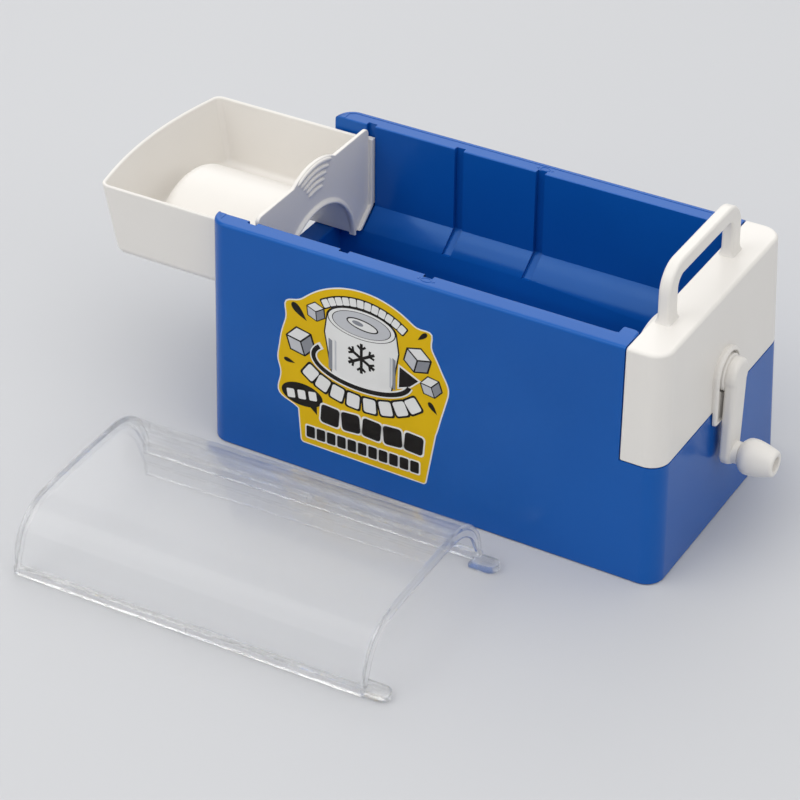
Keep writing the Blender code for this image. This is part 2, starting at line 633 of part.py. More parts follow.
def main():
    clear_scene()
    blue = make_material("blue_pp", (0.014, 0.100, 0.340), 0.32)
    white = make_material("white_abs", (0.80, 0.78, 0.74), 0.34)
    clear = make_material("clear_ps", (0.95, 0.97, 0.98), 0.05, transmission=0.9)
    acetal = make_material("acetal", (0.86, 0.86, 0.82), 0.42)
    rubber = make_material("rubber", (0.03, 0.03, 0.03), 0.75)
    steel = make_material("zinc_steel", (0.62, 0.62, 0.60), 0.35, metallic=1.0)
    yellow = make_material("label_print", (0.90, 0.66, 0.03), 0.45)
    build_trough(blue)
    build_label(yellow)
    build_tray(white)
    build_lid(clear)
    build_housing(white)
    build_cover(white)
    build_gasket(rubber)
    build_cover_screws(steel)
    build_ring_gear(acetal)
    build_pinion(acetal)
    build_bearings(acetal, rubber)
    build_can_holder(white)
    build_grip(rubber)
    build_small_screws(steel)
    crank = build_crank(white)
    build_knob(white, steel, crank)


main()
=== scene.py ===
"""Looks of a hand-cranked drink can cooler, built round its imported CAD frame.

Helpers work in millimetres and write meshes in metres. +X points to the crank, -Y to the sticker.
"""

from math import asin, atan, cos, degrees, exp, pi, radians, sin, sqrt, tan

import bmesh
import bpy
from mathutils import Matrix, Vector


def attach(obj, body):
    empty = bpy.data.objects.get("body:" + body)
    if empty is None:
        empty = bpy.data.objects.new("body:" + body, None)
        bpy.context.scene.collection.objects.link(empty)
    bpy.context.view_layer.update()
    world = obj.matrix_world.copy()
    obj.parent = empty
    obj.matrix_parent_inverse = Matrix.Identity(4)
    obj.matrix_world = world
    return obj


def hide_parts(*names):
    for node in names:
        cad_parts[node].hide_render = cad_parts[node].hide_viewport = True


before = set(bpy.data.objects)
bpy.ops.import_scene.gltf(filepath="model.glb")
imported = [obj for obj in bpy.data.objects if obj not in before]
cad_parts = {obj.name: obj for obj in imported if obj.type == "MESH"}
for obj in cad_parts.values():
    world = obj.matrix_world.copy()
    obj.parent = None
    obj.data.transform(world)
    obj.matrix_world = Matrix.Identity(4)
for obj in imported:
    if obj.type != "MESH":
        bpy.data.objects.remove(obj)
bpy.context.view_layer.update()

MM = 0.001

# Trough
TOP_LENGTH, TOP_WIDTH, HEIGHT = 253.0, 132.0, 130.0
BASE_LENGTH, BASE_WIDTH = 258.2, 142.0
END_X = TOP_LENGTH / 2
WALL = 2.6
SKIRT_CORNER = 10.0  # outer corner radius of the walls in plan
RIM_INNER_Y = 56.1
LEDGE_TOP, LEDGE_BOTTOM = (54.2, 83.0), (42.2, 74.0)
CHANNEL_RADIUS, CHANNEL_Z = 40.0, 66.0
TUB_LEFT, TUB_RIGHT = -116.0, 118.0
LOW_WALL_Z = 75.4
NOTCH_X, NOTCH_Z = 105.5, 67.3
GROOVE_X = (-104.8, -51.7, -4.2)
GROOVE_WIDTH, GROOVE_DEPTH = 5.3, 2.6
TAB_X = 96.6  # where the corner tabs by the drive unit begin
PAST_X, PAST_Y, PAST_Z = 140.0, 80.0, 5.0  # cutters reach this far, past the walls

# Divider and tray
CAN_AXIS_Z, ARCH_RADIUS = 73.0, 34.5
PLATE_X, PLATE_THICKNESS, PLATE_BOTTOM_Z = -106.6, 2.2, 74.4
THUMB_CENTRE, THUMB_RADIUS = (0.0, HEIGHT - 34.0), 39.4
TUNNEL_Z = 75.9
TRAY_RIM_Z, TRAY_FLOOR_Z, TRAY_WALL = 123.4, 82.5, 2.0
TRAY_HALF_WIDTH, TRAY_LEFT_X, TRAY_BOW = 54.6, -201.5, 6.0

# Drive unit
CRANK_AXIS_Z, CRANK_LENGTH = 86.0, 43.7
CRANK_TILT = radians(-3.3)
COVER_X, COVER_THICKNESS = 101.5, 2.3
HOLDER_X, HOLDER_RADIUS, HOLDER_DEPTH, HOLDER_WALL = 87.5, 30.5, 10.5, 2.0
GAP = 0.3
RIM_STEP = 0.2  # how far the rims' broad faces lie below the edge beside them
CORNER_SPARE = 1.25  # how much larger a plate's corner radius is than its edge rounding

# Lid
LID_LENGTH, LID_WIDTH, LID_HEIGHT, LID_WALL = 196.0, 118.0, 35.4, 2.0
LID_CENTRE, LID_TURN = (-51.2, -152.9), radians(1.65)
LID_FLAT, LID_FOOT = 29.0, 7.0


# ---- node materials

def new_material(name, colour, roughness, **sockets):
    material = bpy.data.materials.new(name)
    material.use_nodes = True
    shader = material.node_tree.nodes["Principled BSDF"]
    shader.inputs["Base Color"].default_value = (*colour, 1.0)
    shader.inputs["Roughness"].default_value = roughness
    for socket, value in sockets.items():
        shader.inputs[socket.replace("_", " ")].default_value = value
    material.diffuse_color = (*colour, 1.0)
    return material, shader


def tree_of(material):
    return material.node_tree.nodes, material.node_tree.links


def add_noise(material, scale, detail=3.0, stretch=(1.0, 1.0, 1.0)):
    nodes, links = tree_of(material)
    place = nodes.new("ShaderNodeTexCoord")
    mapping = nodes.new("ShaderNodeMapping")
    mapping.inputs["Scale"].default_value = stretch
    noise = nodes.new("ShaderNodeTexNoise")
    noise.inputs["Scale"].default_value = scale
    noise.inputs["Detail"].default_value = detail
    links.new(place.outputs["Object"], mapping.inputs["Vector"])
    links.new(mapping.outputs["Vector"], noise.inputs["Vector"])
    return noise


def vary_colour(material, shader, noise, dark, light):
    """Colour drifts between two close tones, as pigment does in a moulding."""
    nodes, links = tree_of(material)
    ramp = nodes.new("ShaderNodeValToRGB")
    ramp.color_ramp.elements[0].position = 0.35
    ramp.color_ramp.elements[0].color = (*dark, 1.0)
    ramp.color_ramp.elements[1].position = 0.65
    ramp.color_ramp.elements[1].color = (*light, 1.0)
    links.new(noise.outputs["Fac"], ramp.inputs["Fac"])
    links.new(ramp.outputs["Color"], shader.inputs["Base Color"])


def vary_roughness(material, shader, noise, low, high):
    nodes, links = tree_of(material)
    spread = nodes.new("ShaderNodeMapRange")
    spread.inputs["From Min"].default_value = 0.3
    spread.inputs["From Max"].default_value = 0.7
    spread.inputs["To Min"].default_value = low
    spread.inputs["To Max"].default_value = high
    links.new(noise.outputs["Fac"], spread.inputs["Value"])
    links.new(spread.outputs["Result"], shader.inputs["Roughness"])


def add_grain(material, shader, noises, strength, distance):
    """Bump from the sum of fine moulding grain and broad sink marks."""
    nodes, links = tree_of(material)
    total = None
    for noise, weight in noises:
        scaled = nodes.new("ShaderNodeMath")
        scaled.operation = "MULTIPLY"
        scaled.inputs[1].default_value = weight
        links.new(noise.outputs["Fac"], scaled.inputs[0])
        if total is None:
            total = scaled
        else:
            summed = nodes.new("ShaderNodeMath")
            summed.operation = "ADD"
            links.new(total.outputs[0], summed.inputs[0])
            links.new(scaled.outputs[0], summed.inputs[1])
            total = summed
    bump = nodes.new("ShaderNodeBump")
    bump.inputs["Strength"].default_value = strength
    bump.inputs["Distance"].default_value = distance
    links.new(total.outputs[0], bump.inputs["Height"])
    links.new(bump.outputs["Normal"], shader.inputs["Normal"])


def moulded_plastic(name, dark, light, rough, grain=0.10, **sockets):
    material, shader = new_material(name, light, rough[0], **sockets)
    broad = add_noise(material, 14.0, 2.0)
    fine = add_noise(material, 1400.0, 2.0)
    cloud = add_noise(material, 45.0, 4.0)
    vary_colour(material, shader, broad, dark, light)
    vary_roughness(material, shader, cloud, *rough)
    add_grain(material, shader, [(broad, 1.0), (fine, 0.05)], grain, 0.0006)
    return material


BLUE = moulded_plastic("blue_plastic", (0.0034, 0.086, 0.385), (0.0042, 0.094, 0.410), (0.17, 0.25), 0.07,
                       Specular_Tint=(0.40, 0.66, 1.0, 1.0))
WHITE = moulded_plastic("white_plastic", (0.806, 0.778, 0.738), (0.826, 0.800, 0.762), (0.30, 0.34), 0.03)
ACETAL = moulded_plastic("acetal", (0.76, 0.75, 0.70), (0.82, 0.81, 0.77), (0.36, 0.46))
RUBBER = moulded_plastic("soft_rubber", (0.020, 0.020, 0.021), (0.032, 0.032, 0.033), (0.62, 0.80), 0.3)


def make_clear(name, alpha, bend, ripples):
    material, shader = new_material(name, (0.985, 0.99, 0.995), 0.03)
    shader.inputs["Transmission Weight"].default_value = 1.0
    shader.inputs["IOR"].default_value = bend
    shader.inputs["Coat Weight"].default_value = 1.0
    shader.inputs["Coat Roughness"].default_value = 0.12
    shader.inputs["Alpha"].default_value = alpha
    ripple = add_noise(material, 22.0, 2.0)
    haze = add_noise(material, 60.0, 3.0)
    vary_roughness(material, shader, haze, 0.015, 0.05)
    add_grain(material, shader, [(ripple, 1.0)], ripples, 0.0006)
    return material


def make_steel():
    material, shader = new_material("zinc_plated", (0.62, 0.62, 0.60), 0.3, Metallic=1.0)
    streak = add_noise(material, 500.0, 3.0, (1.0, 1.0, 8.0))
    vary_roughness(material, shader, streak, 0.22, 0.42)
    vary_colour(material, shader, streak, (0.52, 0.52, 0.50), (0.70, 0.70, 0.68))
    return material


PRINT_SPECULAR = 0.16


def make_print(name, colour, roughness=0.46):
    material, shader = new_material(name, colour, roughness, Specular_IOR_Level=PRINT_SPECULAR)
    film = add_noise(material, 260.0, 2.0)
    patch = add_noise(material, 30.0, 2.0)
    darker = tuple(0.955 * c for c in colour)
    vary_colour(material, shader, patch, darker, colour)
    vary_roughness(material, shader, film, roughness - 0.06, roughness + 0.06)
    add_grain(material, shader, [(film, 0.4)], 0.06, 0.0002)
    return material


# the lid's thin wall shows little of itself, and its thick edges catch the light
CLEAR = make_clear("clear_plastic", 0.34, 1.10, 0.06)
CLEAR_EDGE = make_clear("clear_plastic_edge", 0.80, 1.42, 0.01)
STEEL = make_steel()
YELLOW = make_print("print_yellow", (0.74, 0.47, 0.002))
PAPER = make_print("print_white", (0.80, 0.80, 0.79))
INK = make_print("print_black", (0.012, 0.010, 0.009))
GREY = make_print("print_grey", (0.26, 0.27, 0.30))
PALE = make_print("print_pale_grey", (0.55, 0.56, 0.59))


# ---- mesh helpers

def make_object(name, bm, *materials):
    bmesh.ops.remove_doubles(bm, verts=bm.verts, dist=0.001)
    bmesh.ops.recalc_face_normals(bm, faces=bm.faces)
    bmesh.ops.scale(bm, vec=(MM, MM, MM), verts=bm.verts)
    mesh = bpy.data.meshes.new(name)
    bm.to_mesh(mesh)
    bm.free()
    item = bpy.data.objects.new(name, mesh)
    bpy.context.scene.collection.objects.link(item)
    for material in materials:
        mesh.materials.append(material)
    return item


def settle(item, body, slot, *stands_for, sharp=38.0):
    """Smooth shading that keeps flat faces flat, then the piece's body, and the CAD nodes it stands for are
    hidden; the slot is not used.
    """
    item.data.shade_smooth()
    item.data.set_sharp_from_angle(angle=radians(sharp))
    item.modifiers.new("even", "WEIGHTED_NORMAL").keep_sharp = True
    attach(item, body)
    if stands_for:
        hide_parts(*stands_for)
    return item


def loft(rings, cap=True, closed=False):
    bm = bmesh.new()
    loops = [[bm.verts.new(point) for point in ring] for ring in rings]
    count = len(loops[0])
    pairs = list(zip(loops, loops[1:]))
    if closed:
        pairs.append((loops[-1], loops[0]))
    for low, high in pairs:
        for i in range(count):
            j = (i + 1) % count
            bm.faces.new((low[i], low[j], high[j], high[i]))
    if cap and not closed:
        bm.faces.new(loops[0])
        bm.faces.new(loops[-1])
    return bm


def merge(*parts):
    """Put several bmeshes into one."""
    whole = bmesh.new()
    for part in parts:
        mesh = bpy.data.meshes.new("part")
        part.to_mesh(mesh)
        part.free()
        whole.from_mesh(mesh)
        bpy.data.meshes.remove(mesh)
    return whole


def arc(centre, radius, start, end, steps):
    angles = [radians(start + (end - start) * i / steps) for i in range(steps + 1)]
    return [(centre[0] + radius * cos(a), centre[1] + radius * sin(a)) for a in angles]


def inset(outline, distance):
    """Move a closed outline inwards by a distance, with limited mitres."""
    count = len(outline)
    area = sum(a[0] * b[1] - b[0] * a[1] for a, b in zip(outline, outline[1:] + outline[:1]))
    side = 1.0 if area > 0 else -1.0
    moved = []
    for i in range(count):
        here = Vector(outline[i])
        back = (here - Vector(outline[i - 1])).normalized()
        ahead = (Vector(outline[(i + 1) % count]) - here).normalized()
        normal_a = Vector((-back.y, back.x)) * side
        normal_b = Vector((-ahead.y, ahead.x)) * side
        point = here + (normal_a + normal_b) * (distance / max(1.0 + normal_a.dot(normal_b), 0.35))
        moved.append((point.x, point.y))
    return moved


def rectangle(x0, x1, y0, y1):
    return [(x0, y0), (x1, y0), (x1, y1), (x0, y1)]


def mirrored(side, middle=()):
    """An outline whose other half mirrors the first, with points that may lie between the halves."""
    return side + list(middle) + [(-y, z) for y, z in reversed(side)]


def heading(path, i):
    """Unit direction of a path at one of its points."""
    behind, ahead = path[max(i - 1, 0)], path[min(i + 1, len(path) - 1)]
    return Vector((ahead[0] - behind[0], ahead[1] - behind[1])).normalized()


def quarter_round(size, steps):
    """Rounding of an edge as (distance from the end face, distance inwards), from the face to the side."""
    if not size:
        return [(0.0, 0.0)]
    turns = [pi / 2 * k / steps for k in range(steps + 1)]
    return [(size * (1 - cos(t)), size * (1 - sin(t))) for t in turns]


def on_axis(outline, along, axis):
    if axis == "X":
        return [(along, a, b) for a, b in outline]
    if axis == "Y":
        return [(a, along, b) for a, b in outline]
    return [(a, b, along) for a, b in outline]


def plate(outline, start, end, soft_start, soft_end, axis="X", steps=4):
    """Extrude an outline with its edges rounded at both ends."""
    rings = []
    for rise, back in quarter_round(soft_start, steps):
        rings.append(on_axis(inset(outline, back), start + rise, axis))
    for rise, back in reversed(quarter_round(soft_end, steps)):
        rings.append(on_axis(inset(outline, back), end - rise, axis))
    return loft(rings)


def box(x0, x1, y0, y1, z0, z1, soft=0.0):
    low, high = min(y0, y1), max(y0, y1)
    corners = rectangle(low, high, z0, z1)
    outline = rounded(corners, soft * CORNER_SPARE, 4) if soft else corners
    return plate(outline, x0, x1, soft, soft, "X", 3)


def rounded(points, radii, steps=5):
    """Round the corners of a closed outline; radii is one number or one per corner."""
    count = len(points)
    radii = radii if isinstance(radii, (list, tuple)) else [radii] * count
    path = []
    for i in range(count):
        corner = Vector(points[i])
        if radii[i] <= 0:
            path.append(tuple(corner))
            continue
        to_back = (Vector(points[i - 1]) - corner).normalized()
        to_ahead = (Vector(points[(i + 1) % count]) - corner).normalized()
        half = to_back.angle(to_ahead) / 2
        reach = radii[i] / tan(half)
        centre = corner + (to_back + to_ahead).normalized() * (radii[i] / sin(half))
        first = corner + to_back * reach - centre
        last = corner + to_ahead * reach - centre
        sweep = first.angle_signed(last)
        for k in range(steps + 1):
            turn = Matrix.Rotation(-sweep * k / steps, 2)
            point = centre + turn @ first
            path.append((point.x, point.y))
    return path


def around(count):
    """Evenly spaced angles of a whole turn."""
    return [2 * pi * i / count for i in range(count)]


def rounds(profile, axis_yz, segments):
    cy, cz = axis_yz
    return [[(x, cy + r * cos(a), cz + r * sin(a)) for a in around(segments)] for x, r in profile]


def turned(profile, axis_yz, segments=72):
    """A ring about a line along X, from its closed (x, radius) section."""
    return loft(rounds(profile, axis_yz, segments), closed=True)


def rod(profile, axis_yz, segments):
    """A solid about a line along X, from its (x, radius) steps."""
    return loft(rounds(profile, axis_yz, segments))


def oval_ring(centre, stretch, section, count):
    """A flat oval ring lying in X and Y, from its closed (radius, z) section."""
    (cx, cy), (wide, deep) = centre, stretch
    rings = [[(cx + r * wide * cos(a), cy + r * deep * sin(a), z) for r, z in section] for a in around(count)]
    return loft(rings, closed=True)


def combine(target, solids, operation="DIFFERENCE"):
    """Apply exact booleans with bmesh solids, one after the other."""
    for bm in solids:
        cutter = make_object("cutter", bm)
        modifier = target.modifiers.new("shape", "BOOLEAN")
        modifier.operation = operation
        modifier.solver = "EXACT"
        modifier.object = cutter
        graph = bpy.context.evaluated_depsgraph_get()
        mesh = bpy.data.meshes.new_from_object(target.evaluated_get(graph))
        if not mesh.vertices:
            raise RuntimeError(f"boolean on {target.name} left nothing")
        target.modifiers.clear()
        used, target.data = target.data, mesh
        bpy.data.meshes.remove(used)
        spare = cutter.data
        bpy.data.objects.remove(cutter)
        bpy.data.meshes.remove(spare)
    return target


def soften(target, width, chosen, steps=2, angle=30.0):
    """Bevel the sharp edges whose middle (mm) passes a test."""
    bm = bmesh.new()
    bm.from_mesh(target.data)
    bmesh.ops.remove_doubles(bm, verts=bm.verts, dist=0.02 * MM)
    bmesh.ops.dissolve_degenerate(bm, edges=bm.edges, dist=0.02 * MM)
    picked = []
    for edge in bm.edges:
        if len(edge.link_faces) == 2 and edge.calc_face_angle() > radians(angle):
            middle = (edge.verts[0].co + edge.verts[1].co) / (2 * MM)
            if chosen(middle):
                picked.append(edge)
    bmesh.ops.bevel(bm, geom=picked, offset=width * MM, offset_type="OFFSET", segments=steps,
                    profile=0.5, affect="EDGES", clamp_overlap=False)
    bm.to_mesh(target.data)
    bm.free()
    return target


def rounded_rectangle(half_x, half_y, radius, steps=10):
    points = []
    for sx, sy, start in ((1, 1, 0), (-1, 1, 90), (-1, -1, 180), (1, -1, 270)):
        corner = (sx * (half_x - radius), sy * (half_y - radius))
        points += arc(corner, radius, start, start + 90, steps)
    return points


# ---- trough

def half_size(z):
    """Half the length and half the width of the tapering outer walls at a height."""
    share = 1 - z / HEIGHT
    return ((TOP_LENGTH + (BASE_LENGTH - TOP_LENGTH) * share) / 2,
            (TOP_WIDTH + (BASE_WIDTH - TOP_WIDTH) * share) / 2)


def skirt_ring(z, inset_by, extra=0.0):
    half_x, half_y = half_size(z)
    radius = max(SKIRT_CORNER - inset_by * 0.6 - extra, 2.0)
    points = rounded_rectangle(half_x - inset_by - extra, half_y - inset_by - extra, radius)
    return [(x, y, z) for x, y in points]


def soft_skirt(inset_by, z0, z1, soft_low, soft_high, steps=5):
    """The trough's tapered outer form with rounded lower and upper edges."""
    rings = []
    for rise, back in quarter_round(soft_low, steps):
        rings.append(skirt_ring(z0 + rise, inset_by, back))
    for rise, back in reversed(quarter_round(soft_high, steps)):
        rings.append(skirt_ring(z1 - rise, inset_by, back))
    return loft(rings)


def tub_outline(offset, top, steps=36):
    side = [(RIM_INNER_Y + offset, top)]
    side.append((LEDGE_TOP[0] + offset, LEDGE_TOP[1] - 0.35 * offset))
    side.append((LEDGE_BOTTOM[0] + offset, LEDGE_BOTTOM[1] - 0.8 * offset))
    bottom = arc((0.0, CHANNEL_Z), CHANNEL_RADIUS + offset, 0, -180, steps)
    return mirrored(side, bottom)


def upper_outline(offset, bottom, top):
    share = (bottom - LEDGE_BOTTOM[1]) / (LEDGE_TOP[1] - LEDGE_BOTTOM[1])
    ledge_y = LEDGE_BOTTOM[0] + (LEDGE_TOP[0] - LEDGE_BOTTOM[0]) * share
    side = [(RIM_INNER_Y + offset, top), (LEDGE_TOP[0] + offset, LEDGE_TOP[1]), (ledge_y + offset, bottom)]
    return mirrored(side)


def groove_outline(depth, top):
    side = [(RIM_INNER_Y + depth, top), (LEDGE_TOP[0] + depth, LEDGE_TOP[1] - 0.9)]
    side += [(LEDGE_BOTTOM[0] + 0.6 * depth, LEDGE_BOTTOM[1] - 0.9), (LEDGE_BOTTOM[0] - 6.0, LEDGE_BOTTOM[1])]
    return mirrored(side)


def prism(outline, x0, x1):
    return plate(outline, x0, x1, 0, 0)


def build_trough():
    hollow = make_object("wall_hollow", soft_skirt(WALL, -1.0, HEIGHT - WALL, 0, 0))
    cuts = [prism(tub_outline(WALL, HEIGHT), TUB_LEFT - WALL, TUB_RIGHT + WALL)]
    for x in GROOVE_X:
        half = GROOVE_WIDTH / 2 + WALL
        cuts.append(prism(groove_outline(GROOVE_DEPTH + 2.0, HEIGHT), x - half, x + half))
    cuts.append(prism(upper_outline(WALL, LOW_WALL_Z - WALL, HEIGHT), -PAST_X, TUB_LEFT))
    cuts.append(box(NOTCH_X - WALL, PAST_X, -PAST_Y, PAST_Y, NOTCH_Z - WALL, HEIGHT))
    for x in (-70.0, 0.0, 70.0):
        cuts.append(box(x - 1.5, x + 1.5, -34.0, 34.0, -2.0, 45.0))
    combine(hollow, cuts)
    trough = make_object("trough_shell", soft_skirt(0.0, 0.0, HEIGHT, 1.2, 1.7), BLUE)
    inner = bmesh.new()
    inner.from_mesh(hollow.data)
    bmesh.ops.scale(inner, vec=(1 / MM,) * 3, verts=inner.verts)
    spare = hollow.data
    bpy.data.objects.remove(hollow)
    bpy.data.meshes.remove(spare)
    combine(trough, [inner])
    combine(trough, [
        prism(tub_outline(0.0, HEIGHT + PAST_Z), TUB_LEFT, TUB_RIGHT),
        prism(upper_outline(0.0, LOW_WALL_Z, HEIGHT + PAST_Z), -PAST_X, TUB_LEFT + 1),
        box(NOTCH_X, PAST_X, -PAST_Y, PAST_Y, NOTCH_Z, HEIGHT + PAST_Z),
    ])
    recess = []
    for side in (-1, 1):
        strip = [(-121.0, side * 50.0), (96.2, side * 50.0), (96.2, side * 63.2), (-118.0, side * 63.2),
                 (-121.0, side * 61.5)]
        recess.append(plate(strip, HEIGHT - RIM_STEP, HEIGHT + 3, 0, 0, "Z"))
    combine(trough, recess)
    tabs = []
    for side in (-1, 1):
        edge = side * RIM_INNER_Y
        tab = rectangle(TAB_X, NOTCH_X, edge + side * 2, edge - side * 6.5)
        tabs.append(plate(rounded(tab, [0, 0, 3.0, 1.3]), HEIGHT - 3.2, HEIGHT - 0.05, 0.3, 0.9, "Z"))
    combine(trough, tabs, "UNION")
    soften(trough, 0.7, lambda p: p.z > HEIGHT - 1.2 and abs(abs(p.y) - RIM_INNER_Y) < 0.4 and p.x < 96, 3)
    soften(trough, 1.0, lambda p: abs(p.z - LOW_WALL_Z) < 0.05 and p.x < TUB_LEFT + 1.5 and abs(p.y) < 44, 3)
    grooves = []
    for x in GROOVE_X:
        half = GROOVE_WIDTH / 2
        grooves.append(prism(groove_outline(GROOVE_DEPTH, HEIGHT + PAST_Z), x - half, x + half))
    combine(trough, grooves)
    return settle(trough, "trough", "blue_pp", "trough_body")


def build_rim_marks():
    """A small raised ring with a pointer by the last groove on each rim."""
    parts = []
    low, high = HEIGHT - RIM_STEP - 0.2, HEIGHT - RIM_STEP + 0.22
    for side in (-1, 1):
        centre = (GROOVE_X[2] + 0.4, side * 60.6)
        section = [(2.5, low), (2.3, high), (1.9, high), (1.7, low)]
        parts.append(oval_ring(centre, (1.25, 0.8), section, 28))
        for shift in (-1, 1):
            arrow = [(centre[0] + shift * 3.6, centre[1] - 1.1), (centre[0] + shift * 5.0, centre[1]),
                     (centre[0] + shift * 3.6, centre[1] + 1.1)]
            parts.append(plate(rounded(arrow, 0.2, 2), low, high, 0, 0.1, "Z", 2))
    marks = make_object("rim_marks", merge(*parts), BLUE)
    return settle(marks, "trough", "blue_pp")


# ---- sticker

def on_wall(outline, lift):
    return [(x, -half_size(z)[1] - lift, z) for x, z in outline]


def film(outline, low, high):
    return loft([on_wall(outline, low), on_wall(outline, high)])


def placed(points, cx, cz, turn):
    """Turn points about their own origin and move that origin to a place."""
    c, s = cos(turn), sin(turn)
    return [(cx + x * c - z * s, cz + x * s + z * c) for x, z in points]


def ellipse(cx, cz, rx, rz, start=0.0, end=360.0, steps=40, turn=0.0):
    last = steps if end - start < 360 else steps - 1
    turns = [radians(start + (end - start) * i / steps) for i in range(last + 1)]
    return placed([(rx * cos(a), rz * sin(a)) for a in turns], cx, cz, turn)


LABEL_X, LABEL_Z, LABEL_RADIUS = -36.5, 68.0, 48.3
# bulges of the die-cut edge: direction (degrees), height, spread (degrees)
LABEL_LOBES = ((146, 5.0, 6.0), (43, 5.6, 5.0), (207, 6.8, 8.5), (9, 2.0, 8.0), (186, 1.4, 7.0),
               (-14, -1.4, 12.0))


def sticker_outline():
    """A die-cut edge: round above with soft bulges, then a straight-sided foot."""
    points = []
    for i in range(120):
        turn = -26 + 246 * i / 119
        radius = LABEL_RADIUS + sum(h * exp(-((turn - c) / w) ** 2) for c, h, w in LABEL_LOBES)
        points.append((LABEL_X + radius * cos(radians(turn)),
                       LABEL_Z + radius * sin(radians(turn))))
    points += arc((LABEL_X - 34.0, 19.0), 2.2, 190, 265, 4)
    return points + arc((LABEL_X + 35.8, 18.2), 2.2, 275, 350, 4)


def drop(cx, cz, size, turn):
    """A pointed drop."""
    points = [(size * 0.5 * sin(a) * sin(a / 2) ** 1.4, -size * cos(a)) for a in around(24)]
    return placed(points, cx, cz, turn)


def cube_faces(cx, cz, size, turn):
    """Three visible sides of an ice cube: (tone, outline)."""
    def place(points):
        return placed([(x * size, z * size) for x, z in points], cx, cz, turn)

    outer = place([(-0.95, 0.45), (0.0, 0.98), (0.95, 0.45), (0.95, -0.55), (0.0, -1.05), (-0.95, -0.55)])
    top = place([(-0.80, 0.43), (0.0, 0.86), (0.80, 0.43), (0.0, 0.02)])
    left = place([(-0.83, 0.32), (-0.06, -0.08), (-0.06, -0.90), (-0.83, -0.48)])
    right = place([(0.83, 0.32), (0.06, -0.08), (0.06, -0.90), (0.83, -0.48)])
    return [("ink", outer), ("paper", top), ("pale", left), ("grey", right)]


def pads(path, half_width, half_height):
    """Plain blocks set side by side along a path, each turned to follow it."""
    made = []
    for (x0, z0), (x1, z1) in zip(path, path[1:]):
        along = Vector((x1 - x0, z1 - z0)).normalized()
        across = Vector((-along.y, along.x))
        centre = Vector(((x0 + x1) / 2, (z0 + z1) / 2))
        corners = []
        for i, k in ((-1, -1), (1, -1), (1, 1), (-1, 1)):
            corner = centre + along * (half_width * i) + across * (half_height * k)
            corners.append((corner.x, corner.y))
        made.append(rounded(corners, min(half_width, half_height) * 0.35, 3))
    return made


def stroke(path, half):
    """A flat line of even width along a path."""
    left, right = [], []
    for i, point in enumerate(path):
        along = heading(path, i)
        left.append((point[0] - along.y * half, point[1] + along.x * half))
        right.append((point[0] + along.y * half, point[1] - along.x * half))
    return left + right[::-1]


def draw_can(draw, cx):
    """A plain squat can seen from a little above, with a snow star on its side."""
    top, low, half = 97.2, 65.0, 20.3
    body = ellipse(cx, low, half * 0.88, 4.6, 180, 360, 20) + [(cx + half * 1.07, top - 10)]
    body += ellipse(cx, top, half, 8.8, 0, 180, 28) + [(cx - half * 1.07, top - 10)]
    draw("ink", body)
    draw("paper", inset(body, 0.8))
    rims = ((0.7, "ink", 0.07), (1.3, "paper", 0.02), (3.4, "ink", 0.10), (3.9, "pale", 0.02))
    for shrink, tone, rise in rims:
        draw(tone, ellipse(cx, top, half - shrink, 8.8 - shrink * 0.55), rise)
    draw("ink", ellipse(cx + 0.6, top + 0.2, 9.2, 3.1, turn=-0.12), 0.16)
    draw("paper", ellipse(cx + 0.6, top + 0.2, 8.3, 2.4, turn=-0.12), 0.13)
    draw("grey", ellipse(cx - 2.0, top + 0.6, 3.2, 1.2, turn=-0.12), 0.06)
    shades = ((-0.93, 0.10, "grey"), (-0.76, 0.05, "pale"), (0.80, 0.05, "pale"), (0.88, 0.08, "grey"))
    for x, w, tone in shades:
        draw(tone, [(cx + half * x, low + 2), (cx + half * (x + w), low + 1), (cx + half * (x + w), top - 14),
                    (cx + half * x, top - 13)])
    star_z = 78.0
    for i in range(6):
        a = radians(30 + 60 * i)
        dx, dz = cos(a), sin(a)
        draw("ink", stroke([(cx, star_z), (cx + dx * 8.6, star_z + dz * 8.6)], 0.8), 0.13 + 0.004 * i)
        for s in (-1, 1):
            b = a + s * radians(50)
            ex, ez = cx + dx * 5.2, star_z + dz * 5.2
            tick = stroke([(ex, ez), (ex + cos(b) * 3.1, ez + sin(b) * 3.1)], 0.6)
            draw("ink", tick, 0.155 + 0.004 * i + 0.002 * s)


def draw_arrow(draw, cx):
    """A turning arrow round the can."""
    cz, wide, tall = 71.8, 27.8, 11.6
    sweep = ellipse(cx, cz, wide, tall, 146, 352, 44)
    head = [(cx + 22.0, 80.5), (cx + 21.6, 68.6), (cx + 27.8, 71.0), (cx + 32.6, 75.6)]
    draw("paper", stroke(sweep, 2.0), 0.17)
    draw("paper", inset(head, -0.8), 0.175)
    draw("ink", stroke(sweep[1:], 1.25), 0.26)
    draw("ink", head, 0.265)


